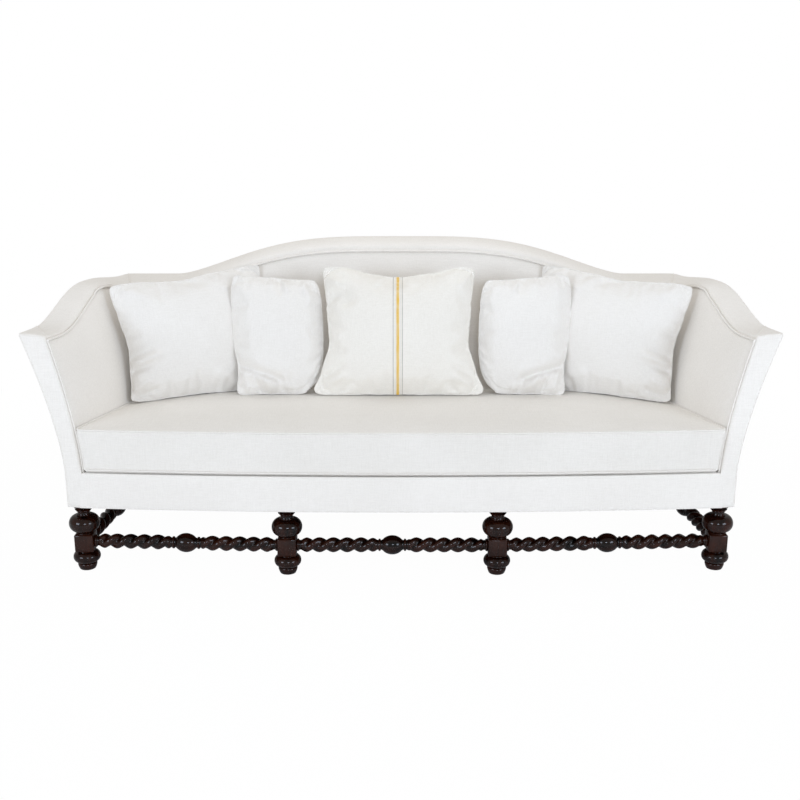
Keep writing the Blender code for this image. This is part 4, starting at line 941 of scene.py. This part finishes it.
def border_line(station, place, lift):
    """A point over the top of the wall at a station, at a place across it."""
    edge, outer = border_edges(station)
    spot = edge.lerp(outer, place)
    return Vector((spot.x, spot.y - MIDDLE_DEPTH, top_height(station, place) + lift))


def mitre_station(place):
    """How far behind the front of the arm the facing's cloth ends, across its top."""
    return 0.02 + 0.28 * place ** 1.3


def facing_spot(column, row):
    share = column / 22
    top = top_height(0.0, share) + 0.0012
    turn_row = row - FACING_ROWS
    height = mix(FRAME_BOTTOM, top - TOP_TURN, 1.0 - (1.0 - min(row / FACING_ROWS, 1.0)) ** 1.2)
    if turn_row > TURN_ROWS:
        station = mitre_station(share) * (turn_row - TURN_ROWS) / FLAP_ROWS
        return border_line(station, 0.005 + 0.99 * share, 0.0012)
    angle = math.pi / 2 * max(turn_row, 0) / TURN_ROWS
    height += TOP_TURN * math.sin(angle)
    level = min(height, top - BORDER_THICKNESS)
    inner = inner_point(0.0, level).x + EDGE_RECESS
    outer = outer_point(0.0, level).x
    x = mix(inner, outer, share)
    edge = min(x - inner, outer - x, height - FRAME_BOTTOM)
    y = FACING_FRONT + FACING_ROLL * quarter(1.0 - edge / FACING_ROUNDING) * math.cos(angle)
    outer_edge = min(outer - x, height - FRAME_BOTTOM)
    flush = bow(inner) + 0.006 * share + FACING_ROLL * quarter(1.0 - outer_edge / FACING_ROUNDING)
    y = mix(flush, y, ease((height - DECK_TOP + 0.006) / 0.030))
    y += TOP_TURN * (1.0 - math.cos(angle))
    return Vector((x, y - MIDDLE_DEPTH, height))


def on_side(points, side):
    """Points along the right arm, or their mirror image for the left arm."""
    return [Vector((side * spot.x, spot.y, spot.z)) for spot in points]


back_plane = ARM_FRONT - SEAM_GAP - MIDDLE_DEPTH
facing_edge = [Vector((inner_point(0.0, height).x + 0.0040, FACING_FRONT + FACING_ROLL - MIDDLE_DEPTH,
                       height))
               for height in spread(80, DECK_TOP - 0.004,
                                    top_height(0.0, 0.0) - BORDER_THICKNESS - 0.002)]
for word, side in SIDES:
    shape = swept_grid(23, FACING_ROWS + TURN_ROWS + FLAP_ROWS + 1, facing_spot)
    for corner in drawn_out(shape):
        if corner.co.y > back_plane:
            corner.co.z -= 0.0020
        else:
            corner.co.y = back_plane
    point_outwards(shape)
    upholster(f"padded_facing_{word}", mirror_shape(shape, side), (f"arm_facing_{word}",))
    welt(f"facing_welt_{word}", on_side(facing_edge, side), 0.0030)


# ---- The border -------------------------------------------------------------------------------
# A padded strip that rolls over the top of the arms and the back, from a fat welt at its inner edge
# to a thin one at its outer edge. It is mitred at the front of each arm and joined at the corners.

BORDER_ROUNDING = 0.004
FAT_WELT = 0.0042
THIN_WELT = 0.0024


def border_section(station):
    edge, outer = border_edges(station)
    width = (outer - edge).length
    places = []
    for step in range(19):
        angle = math.pi / 2 * step / 18
        place = (1.0 - math.cos(angle)) * (1.0 - BORDER_ROUNDING / width)
        places.append((place, top_height(station, place)))
    crown = crown_height(station)
    for step in range(1, 5):
        angle = math.pi / 2 * step / 4
        places.append((1.0 - BORDER_ROUNDING * (1.0 - math.sin(angle)) / width,
                       crown - BORDER_ROUNDING * (1.0 - math.cos(angle))))
    for place in spread(9, 1.0, 0.0):
        places.append((place, top_height(station, place) - BORDER_THICKNESS))
    places[0] = (0.0, places[0][1] - 0.003)
    loop = []
    for place, height in places:
        spot = edge.lerp(outer, place)
        loop.append((spot.x, spot.y, height))
    return loop


for word, side in SIDES:
    shape = mirror_shape(wall_shell(WHOLE_ARM, border_section), side)
    upholster(f"rolled_arm_border_{word}", shape, (f"arm_border_{word}",))
upholster("rolled_back_border", wall_shell(WHOLE_BACK, border_section), ("back_border",))


def inner_welt_spot(station):
    """The fat welt lies in the hollow between the stuffing and the border."""
    half, side = right_half(station)
    top = top_height(half, 0.0) - BORDER_THICKNESS - SEAM_GAP
    flat = inner_point(half, top)
    spot = flat + (outer_point(half, top) - flat).normalized() * 0.0040
    return Vector((side * spot.x, spot.y - MIDDLE_DEPTH, top + 0.0030))


def outer_welt_spot(station):
    """The thin welt lies along the outer edge, where the outside cover meets the border."""
    half, side = right_half(station)
    spot = border_line(half, 1.0, -BORDER_THICKNESS)
    inwards = border_line(half, 0.9, 0.0) - border_line(half, 1.0, 0.0)
    inwards.z = 0.0
    spot += inwards.normalized() * 0.0012
    spot.x *= side
    return spot


inner_run = [inner_welt_spot(station) for station in WHOLE_ARM]
inner_run.insert(0, inner_run[0] - Vector((0.0, 0.0105, 0.0)))
outer_run = [outer_welt_spot(station) for station in WHOLE_ARM]
mitre = [border_line(mitre_station(share), 0.01 + 0.98 * share, 0.0006)
         for share in spread(24, 0.0, 1.0)]
corner_seam = [border_line(1.5, share, 0.0002) for share in spread(16, 0.02, 0.99)]
for word, side in SIDES:
    welt(f"arm_welt_{word}", on_side(inner_run, side), FAT_WELT)
    welt(f"arm_edge_welt_{word}", on_side(outer_run, side), THIN_WELT)
    welt(f"mitre_seam_{word}", on_side(mitre, side), 0.0016)
    welt(f"corner_seam_{word}", on_side(corner_seam, side), 0.0019)
welt("back_welt", [inner_welt_spot(station) for station in WHOLE_BACK], FAT_WELT)
welt("back_edge_welt", [outer_welt_spot(station) for station in WHOLE_BACK], THIN_WELT)


# ---- The bench cushion ------------------------------------------------------------------------
# One long loose cushion, a foam core in a soft wrap, boxed in linen. Its front follows the bowed
# rail and its sides follow the arms. A thin welt runs round its top and its bottom edge.

CUSHION_OVERHANG = 0.010
CUSHION_CROWN = 0.014
CUSHION_EDGE = 0.012
CUSHION_BOTTOM = DECK_TOP + FIT_GAP
CUSHION_HALF_HEIGHT = (SEAT_TOP - CUSHION_BOTTOM) / 2
CUSHION_HALF = (1.06, 0.265)
CUSHION_RIM_CORNER = 0.022
CUSHION_BACK_GAP = 0.0016
CUSHION_SIDE_GAP = 0.0018
# The cushion's cover is the sofa's linen painted a shade darker: painted shade for the seat's top,
# which gets less light.
shaded_seat_linen = linen("shaded_seat_linen", (0.815, 0.780, 0.726), (0.737, 0.700, 0.643)).material
wall_lines = {}


def cushion_spot(x_share, y_share, height, lift):
    """A point of the cushion, at shares of its width and depth from -1 to 1."""
    level = round(min(height, SEAT_TOP), 4)
    if level not in wall_lines:
        wall_lines[level] = [inner_point(station, level) for station in spread(60, 0.0, 2.28)]
    far = BACK_FACE - CUSHION_BACK_GAP
    row = (y_share + 1.0) / 2
    depth = mix(FRONT_BOW - CUSHION_OVERHANG, far, row)
    x = x_share * (width_along(wall_lines[level], depth + 0.0008) - CUSHION_SIDE_GAP)
    near = bow(x) - CUSHION_OVERHANG
    return Vector((x, mix(near, far, row) - MIDDLE_DEPTH, height + lift))


def boxed_step(value, steps, half):
    """Spreads even steps from -1 to 1 so that the last four fall on the rounded edge."""
    share = abs(value) * steps
    if share > steps - 4:
        reach = half - CUSHION_EDGE * (steps - share) / 4
    else:
        reach = (half - CUSHION_EDGE) * share / (steps - 4)
    return math.copysign(reach, value)


def cushion_shape():
    shape = bmesh.new()
    bmesh.ops.create_cube(shape, size=2.0)
    for axis, cuts in ((0, 199), (1, 63), (2, 15)):
        edges = [edge for edge in shape.edges
                 if abs(edge.verts[0].co[axis] - edge.verts[1].co[axis]) > 1.0]
        bmesh.ops.subdivide_edges(shape, edges=edges, cuts=cuts, use_grid_fill=True)
    half = (*CUSHION_HALF, CUSHION_HALF_HEIGHT)
    for vertex in shape.verts:
        spot = Vector([boxed_step(value, steps, reach) for value, steps, reach
                       in zip(vertex.co, (100, 32, 8), half)])
        core = Vector([math.copysign(min(abs(value), reach - CUSHION_EDGE), value)
                       for value, reach in zip(spot, half)])
        out = spot - core
        if out.length > 0.0:
            spot = core + out.normalized() * CUSHION_EDGE
        x_share, y_share, z_share = (value / reach for value, reach in zip(spot, half))
        crown = (1.0 - x_share ** 4) * (1.0 - y_share ** 4) * CUSHION_CROWN
        dents = noise.noise(Vector((spot.x * 3.1, spot.y * 5.0, 0.3))) * 0.0022
        dents += noise.noise(Vector((spot.x * 9.0, spot.y * 13.0, 4.0))) * 0.0007
        dents *= (1.0 - x_share ** 8) * (1.0 - y_share ** 8)
        lift = (crown + dents - 0.0015) * ease((z_share + 0.2) / 1.2)
        placed = cushion_spot(x_share, y_share, CUSHION_BOTTOM + CUSHION_HALF_HEIGHT + spot.z, lift)
        ripple = noise.noise(Vector((spot.x * 11.0, 7.0, spot.z * 9.0))) * 0.0009
        if y_share < -0.99:
            placed.y += (0.0022 + ripple) * (1.0 - z_share ** 4)
        under = ease((-y_share - 0.90) / 0.09) * ease(-z_share * 1.6 - 0.1)
        placed.z += (0.012 + 0.004 * noise.noise(Vector((spot.x * 2.2, 1.0, 5.0)))) * under
        vertex.co = placed
    return shape


def cushion_rim(level, inset):
    """The run of a welt round the cushion, at an inset from its edge."""
    half_x, half_y = CUSHION_HALF[0] - inset, CUSHION_HALF[1] - inset
    corner = CUSHION_RIM_CORNER
    run = []
    for turn, (side_x, side_y) in enumerate(((1, -1), (1, 1), (-1, 1), (-1, -1))):
        middle = (side_x * (half_x - corner), side_y * (half_y - corner))
        start = -math.pi / 2 + math.pi / 2 * turn
        run += [(middle[0] + corner * math.cos(start + math.pi / 2 * step / 6),
                 middle[1] + corner * math.sin(start + math.pi / 2 * step / 6)) for step in range(7)]
    full = []
    for first, second in zip(run, run[1:] + run[:1]):
        count = max(math.ceil(math.dist(first, second) / 0.012), 1)
        full += [(mix(first[0], second[0], step / count), mix(first[1], second[1], step / count))
                 for step in range(count)]
    return [cushion_spot(x / CUSHION_HALF[0], y / CUSHION_HALF[1], level, 0.0) for x, y in full]


upholster("bench_cushion", cushion_shape(), ("seat_cushion",), shaded_seat_linen, "seat_cushion")
welt("cushion_top_welt", cushion_rim(SEAT_TOP - 0.0028, 0.0020), 0.0036, shaded_seat_linen, "seat_cushion",
     closed=True)
welt("cushion_bottom_welt", cushion_rim(CUSHION_BOTTOM + 0.0165, 0.0006), 0.0034, shaded_seat_linen,
     "seat_cushion", closed=True)


# ---- The loose pillows ------------------------------------------------------------------------
# Five feather pillows with knife edges: a large ivory one in the middle with a grain-sack stripe,
# two narrow white ones beside it and two large white ones in the corners. The covers are sewn flat
# and swell as they are stuffed. They lean on the back and stand on the cushion.

PILLOW_COLUMNS = 82
PILLOW_ROWS = 70
PILLOW_SLACK = 0.90
PILLOW_BLUNTNESS = 0.009
EDGE_RIPPLE = 0.0022
STUFFING_PRESSURE = 3.0
MOST_SWELLING = 0.014
GATHER_HEIGHT = 0.0062
ROOM_IN_FRONT = 0.003
ROOM_BEHIND = -0.0008


def drawn_in(stops, place):
    """Reads a line through stops of place and value, with its corners rounded."""
    total = 0.0
    for nudge in (-0.08, -0.04, 0.0, 0.04, 0.08):
        spot = min(max(place + nudge, -1.0), 1.0)
        for (start, low), (end, high) in zip(stops, stops[1:]):
            if start <= spot <= end:
                total += mix(low, high, (spot - start) / (end - start))
                break
    return total / 5.0


def pillow_spot(u, v, face, size, rise, taper, edges):
    """A point of a stuffed pillow that stands upright, at shares u across and v up. The stuffing
    draws its left, right, lower and upper edges in."""
    width, height, thickness = size
    left, right, lower, upper = edges
    full = max((1.0 - u * u) * (1.0 - v * v), 0.0) ** 0.62
    x = u * (width / 2 * (1.0 - taper * v) - drawn_in(left if u < 0.0 else right, v))
    z = v * (height / 2 - drawn_in(lower if v < 0.0 else upper, u)) + rise * u * (1.0 + v) / 2
    return Vector((x, -face * full * thickness / 2, z))


def pillow_shape(size, rise, taper, edges, slack, blunt):
    """Two sheets of cloth sewn round the edge, with room for the stuffing to swell. The slack is the
    share of its full thickness, and a blunt cover has rounded corners and a rippled edge."""
    shape = bmesh.new()
    for face in (1.0, -1.0):
        sheet = bmesh.ops.create_grid(shape, x_segments=PILLOW_COLUMNS, y_segments=PILLOW_ROWS,
                                      size=1.0)
        for vertex in sheet["verts"]:
            u = math.sin(vertex.co.x * math.pi / 2)
            v = math.sin(vertex.co.y * math.pi / 2)
            vertex.co = pillow_spot(u, v, face, size, rise, taper, edges)
            vertex.co.y *= slack
            if blunt:
                corner = (u * v) ** 12
                ripple_x = noise.noise(Vector((3.0, size[0], vertex.co.z * 34.0))) * EDGE_RIPPLE
                ripple_z = noise.noise(Vector((vertex.co.x * 34.0, size[0], 8.0))) * EDGE_RIPPLE
                draw_x = blunt * (corner + 0.18 * u ** 6) - ripple_x * u ** 6
                draw_z = blunt * (corner + 0.18 * v ** 6) - ripple_z * v ** 6
                vertex.co.x -= math.copysign(1.0, u) * draw_x
                vertex.co.z -= math.copysign(1.0, v) * draw_z
    bmesh.ops.remove_doubles(shape, verts=shape.verts, dist=0.00005)
    point_outwards(shape)
    return shape


def swell(made, rim):
    """Lets a sewn cover swell as it is stuffed: its seam stays, and the cloth, cut a little larger,
    puckers along it. No point moves further than the most swelling."""
    before = [vertex.co.copy() for vertex in made.data.vertices]
    seam = made.vertex_groups.new(name="seam")
    seam.add(rim, 1.0, "REPLACE")
    cloth = made.modifiers.new("stuffing", "CLOTH")
    cloth.settings.quality = 6
    cloth.settings.mass = 0.25
    cloth.settings.tension_stiffness = 20.0
    cloth.settings.compression_stiffness = 20.0
    cloth.settings.shear_stiffness = 8.0
    cloth.settings.bending_stiffness = 0.12
    cloth.settings.vertex_group_mass = "seam"
    cloth.settings.shrink_min = -0.030
    cloth.settings.use_pressure = True
    cloth.settings.uniform_pressure_force = STUFFING_PRESSURE
    cloth.settings.effector_weights.gravity = 0.0
    cloth.collision_settings.use_collision = False
    for step in range(1, 21):
        scene.frame_set(step)
    swollen = made.evaluated_get(bpy.context.evaluated_depsgraph_get())
    after = [vertex.co.copy() for vertex in swollen.to_mesh().vertices]
    swollen.to_mesh_clear()
    for vertex, start, end in zip(made.data.vertices, before, after):
        move = end - start
        vertex.co = start + move * min(1.0, MOST_SWELLING / max(move.length, 0.00001))
    made.modifiers.remove(cloth)
    made.vertex_groups.remove(seam)
    scene.frame_set(1)


def fold_height(u, v, fold):
    """How far one fold raises the cloth at a point: a ridge that fades out at its ends."""
    u0, v0, u1, v1, wide, high = fold
    run = Vector((u1 - u0, v1 - v0))
    away = Vector((u - u0, v - v0))
    along = away.dot(run) / run.length_squared
    aside = (away - run * along).length
    fade = math.exp(-(max(abs(along - 0.5) - 0.34, 0.0) / 0.14) ** 2)
    return high * fade * math.exp(-(aside / wide) ** 2)


def pucker_height(x, z, u, v):
    """The small gathers that run in from the seam, strongest a little way inside it."""
    sideways = ease((abs(u) - 0.62) / 0.22) * noise.noise(Vector((x * 6.0, 2.0, z * 42.0)))
    upwards = ease((abs(v) - 0.62) / 0.22) * noise.noise(Vector((x * 42.0, 5.0, z * 6.0)))
    return GATHER_HEIGHT * (sideways + upwards)


def feather_pillow(node, finish, size, edges, folds, rise=0.0, taper=0.0, turn=0.0, slot="white_linen"):
    """Sews and stuffs a pillow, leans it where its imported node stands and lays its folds. The full,
    sharp-cornered pillow is the most room that its cover may take."""
    tilt = (Matrix.Rotation(turn, 3, "Z") @ Matrix.Rotation(-BACK_RAKE, 3, "X")).to_4x4()
    full = pillow_shape(size, rise, taper, edges, 1.0, 0.0)
    turned_spots = [tilt @ vertex.co for vertex in full.verts]
    lows = Vector([min(spot[axis] for spot in turned_spots) for axis in range(3)])
    highs = Vector([max(spot[axis] for spot in turned_spots) for axis in range(3)])
    low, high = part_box(node)
    place = Matrix.Translation((low + high) / 2 - (lows + highs) / 2) @ tilt
    room_for_it = BVHTree.FromBMesh(full)
    full.free()
    shape = pillow_shape(size, rise, taper, edges, PILLOW_SLACK, PILLOW_BLUNTNESS)
    mesh = bpy.data.meshes.new(f"sewn_{node}")
    shape.to_mesh(mesh)
    rim = sorted((vertex.index for vertex in shape.verts if abs(vertex.co.y) < 0.00001),
                 key=lambda index: math.atan2(mesh.vertices[index].co.z, mesh.vertices[index].co.x))
    shape.free()
    cover = bpy.data.objects.new(f"feather_{node}", mesh)
    scene.collection.objects.link(cover)
    swell(cover, rim)
    half_width, half_height = size[0] / 2, size[1] / 2
    for vertex in mesh.vertices:
        near, normal = room_for_it.find_nearest(vertex.co)[:2]
        spare = ROOM_IN_FRONT if vertex.co.y < -0.02 else ROOM_BEHIND
        if (vertex.co - near).dot(normal) > spare:
            vertex.co = near + normal * spare
        u, v = vertex.co.x / half_width, vertex.co.z / half_height
        gathers = pucker_height(vertex.co.x, vertex.co.z, u, v)
        if vertex.co.y < 0.0:
            gathers += sum(fold_height(u, v, fold) for fold in folds)
        vertex.co.y += gathers * min(max(vertex.co.y / 0.016, -1.0), 1.0)
    edge = [place @ mesh.vertices[index].co for index in rim]
    mesh.transform(place)
    rounded = cover.modifiers.new("rounded", "SUBSURF")
    rounded.levels = 1
    rounded.render_levels = 1
    mesh.materials.append(finish)
    mesh.shade_smooth()
    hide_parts(node)
    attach(cover, node)
    welt(f"edge_of_{node}", edge, 0.0017, finish, node, slot, closed=True)


def thread_turn(turn):
    """Turns the weave of a pillow's cloth with the pillow."""
    return tuple((Matrix.Rotation(BACK_RAKE, 3, "X") @ Matrix.Rotation(-turn, 3, "Z")).to_euler())


WHITE_PILLOW = ((0.860, 0.832, 0.790), (0.785, 0.754, 0.708))
CORNER_SIZE = (0.548, 0.452, 0.150)
NARROW_SIZE = (0.325, 0.435, 0.135)
MIDDLE_SIZE = (0.592, 0.475, 0.170)
CORNER_TURN = math.radians(24.0)
CORNER_RISE = 0.022
CORNER_TAPER = -0.05
MIDDLE_TAPER = 0.05
PILLOW_CREASE = 0.8
# Each set of edges says how far the stuffing draws the left, right, lower and upper edge in, as
# places from -1 to 1 along the edge and metres there. Each fold is its start and end in shares of
# the pillow, how wide it is as a share, and how far it stands out or lies in.
corner_edges = (
    ((-1.0, 0.0), (-0.90, 0.008), (-0.69, 0.019), (-0.43, 0.024), (-0.17, 0.032), (0.10, 0.030),
     (0.24, 0.024), (0.65, 0.011), (1.0, 0.0)),
    ((-1.0, 0.0), (0.0, 0.018), (1.0, 0.0)),
    ((-1.0, 0.0), (0.0, 0.008), (1.0, 0.0)),
    ((-1.0, 0.0), (-0.70, 0.004), (-0.31, 0.016), (-0.06, 0.022), (0.11, 0.016), (0.33, 0.010),
     (0.54, 0.007), (1.0, 0.0)))
narrow_edges = (
    ((-1.0, 0.020), (-0.90, 0.020), (-0.70, 0.027), (-0.50, 0.027), (-0.40, 0.021),
     (-0.25, 0.013), (0.05, 0.005), (0.40, -0.001), (0.70, -0.003), (1.0, 0.0)),
    ((-1.0, 0.040), (-0.94, 0.030), (-0.84, 0.015), (-0.67, -0.002), (-0.42, -0.012),
     (-0.16, -0.014), (0.17, -0.012), (0.60, -0.006), (0.77, 0.0), (1.0, 0.009)),
    ((-1.0, -0.003), (-0.5, 0.002), (0.5, 0.003), (1.0, 0.006)),
    ((-1.0, -0.010), (-0.5, -0.002), (0.0, 0.004), (0.5, 0.011), (1.0, 0.010)))
middle_side = (
    (-1.0, 0.0), (-0.90, -0.003), (-0.82, 0.006), (-0.74, 0.018), (-0.59, 0.026), (-0.48, 0.032),
    (-0.36, 0.039), (-0.25, 0.048), (-0.10, 0.042), (0.10, 0.036), (0.29, 0.029), (0.48, 0.024),
    (0.67, 0.016), (0.86, 0.005), (1.0, 0.0))
middle_edges = (
    middle_side, middle_side,
    ((-1.0, 0.0), (-0.6, 0.003), (0.6, 0.003), (1.0, 0.0)),
    ((-1.0, 0.0), (-0.71, 0.005), (-0.38, 0.028), (-0.08, 0.042), (0.06, 0.041), (0.45, 0.026),
     (0.78, 0.004), (1.0, 0.002)))
corner_folds = (
    (-0.97, -0.42, -0.48, -0.28, 0.060, 0.0156), (-0.97, -0.33, -0.56, -0.19, 0.036, -0.0117),
    (-0.95, -0.56, -0.60, -0.40, 0.039, -0.0130), (-0.97, -0.66, -0.66, -0.56, 0.053, 0.0117),
    (-0.97, -0.84, -0.64, -0.66, 0.048, 0.0143), (-0.92, -0.94, -0.54, -0.80, 0.036, -0.0117),
    (-0.92, -0.06, -0.66, -0.01, 0.045, 0.0084), (-0.92, 0.06, -0.70, 0.10, 0.036, -0.0065),
    (-0.88, 0.88, -0.60, 0.64, 0.075, 0.0078), (-0.15, 0.95, 0.20, 0.78, 0.068, -0.0104),
    (0.30, 0.92, 0.50, 0.66, 0.075, 0.0078), (0.60, -0.90, 0.20, -0.62, 0.090, 0.0078))
narrow_folds = (
    (-0.98, -0.46, 0.30, -0.78, 0.049, -0.0170), (-0.95, -0.57, 0.16, -0.86, 0.085, 0.0108),
    (-0.95, -0.34, 0.38, -0.64, 0.110, 0.0108), (-0.24, -0.68, -0.02, -0.97, 0.067, 0.0108),
    (-0.46, -0.66, -0.30, -0.97, 0.049, -0.0108), (-0.70, -0.62, -0.60, -0.97, 0.068, 0.0108),
    (0.04, -0.72, 0.20, -0.95, 0.053, -0.0096), (0.22, -0.70, 0.36, -0.92, 0.068, 0.0096),
    (0.04, 0.97, 0.16, 0.68, 0.076, -0.0096), (0.20, 0.95, 0.32, 0.70, 0.076, 0.0072),
    (0.60, 0.92, 0.86, 0.56, 0.110, 0.0060), (-0.92, 0.86, -0.60, 0.66, 0.076, 0.0066))
middle_folds = (
    (-0.80, 0.66, -0.58, 0.36, 0.108, -0.0170), (-0.02, 0.99, 0.00, 0.64, 0.061, -0.0170),
    (-0.20, 0.97, -0.26, 0.66, 0.061, 0.0088), (0.16, 0.97, 0.22, 0.66, 0.061, 0.0075),
    (0.26, 0.90, 0.62, 0.92, 0.068, -0.0112), (-0.97, -0.92, -0.64, -0.68, 0.061, 0.0150),
    (0.97, -0.92, 0.66, -0.70, 0.061, 0.0150), (-0.94, -0.74, -0.66, -0.54, 0.041, -0.0112),
    (0.94, -0.74, 0.66, -0.56, 0.041, -0.0112), (-0.70, -0.97, -0.56, -0.78, 0.038, -0.0100),
    (0.72, -0.97, 0.58, -0.78, 0.038, -0.0100), (-0.92, 0.92, -0.70, 0.62, 0.061, 0.0137),
    (0.92, 0.92, 0.74, 0.64, 0.061, 0.0125), (-0.95, -0.24, -0.64, -0.34, 0.043, -0.0150),
    (0.95, -0.24, 0.64, -0.34, 0.043, -0.0150), (-0.92, -0.08, -0.70, -0.12, 0.049, 0.0100),
    (0.92, -0.08, 0.70, -0.12, 0.049, 0.0100))


def for_side(edges, folds, side):
    """The edges and folds of the left pillow, or their mirror image for the right one."""
    if side < 0.0:
        return edges, folds
    left, right, lower, upper = edges
    return ((right, left, tuple((-place, value) for place, value in reversed(lower)),
             tuple((-place, value) for place, value in reversed(upper))),
            tuple((-u0, v0, -u1, v1, wide, high) for u0, v0, u1, v1, wide, high in folds))


for word, side in SIDES:
    turn = -side * CORNER_TURN
    cloth = linen(f"corner_pillow_linen_{word}", *WHITE_PILLOW, turn=thread_turn(turn),
                  crease=PILLOW_CREASE)
    feather_pillow(f"corner_pillow_{word}", cloth.material, CORNER_SIZE,
                   *for_side(corner_edges, corner_folds, side),
                   rise=-side * CORNER_RISE, taper=CORNER_TAPER, turn=turn)
narrow_cloth = linen("narrow_pillow_linen", *WHITE_PILLOW, turn=thread_turn(0.0), crease=PILLOW_CREASE)
for word, side in SIDES:
    feather_pillow(f"narrow_pillow_{word}", narrow_cloth.material, NARROW_SIZE,
                   *for_side(narrow_edges, narrow_folds, side))

striped = linen("ivory_striped_linen", (0.868, 0.836, 0.775), (0.792, 0.756, 0.690),
                turn=thread_turn(0.0), crease=PILLOW_CREASE)
plain_ivory = Value(striped.shader.inputs["Base Color"].links[0].from_socket)
across_it = striped.node("ShaderNodeSeparateXYZ", {}, {"Vector": striped.place()}, "X")
worn = striped.speckle(striped.place((60.0, 60.0, 14.0)), 1.0, 2.0)
STRIPE_BLUR = 0.0008


def woven_line(middle, half, strength):
    """How much a coloured stripe shows at a point: strong on its threads, thin where it is worn."""
    away = striped.node("ShaderNodeMath", {"operation": "ABSOLUTE"}, {0: across_it - middle})
    inside = striped.node("ShaderNodeMapRange", {},
                          {"Value": away, 1: half + STRIPE_BLUR, 2: half - STRIPE_BLUR})
    return inside * (strength * (0.45 + worn))


stripe_middle = -0.0115
grey_lines = woven_line(stripe_middle - 0.0164, 0.0018, 0.55)
for offset, half, strength in ((0.0164, 0.0018, 0.55), (-0.0095, 0.0008, 0.30), (0.0095, 0.0008, 0.30)):
    grey_lines = grey_lines + woven_line(stripe_middle + offset, half, strength)
with_grey = striped.blend(grey_lines, plain_ivory, (0.30, 0.27, 0.23, 1.0))
with_yellow = striped.blend(woven_line(stripe_middle, 0.0052, 0.88), with_grey, (0.78, 0.50, 0.09, 1.0))
striped.surface(Base_Color=with_yellow)
feather_pillow("middle_pillow", striped.material, MIDDLE_SIZE, middle_edges, middle_folds,
               taper=MIDDLE_TAPER, slot="ivory_linen")
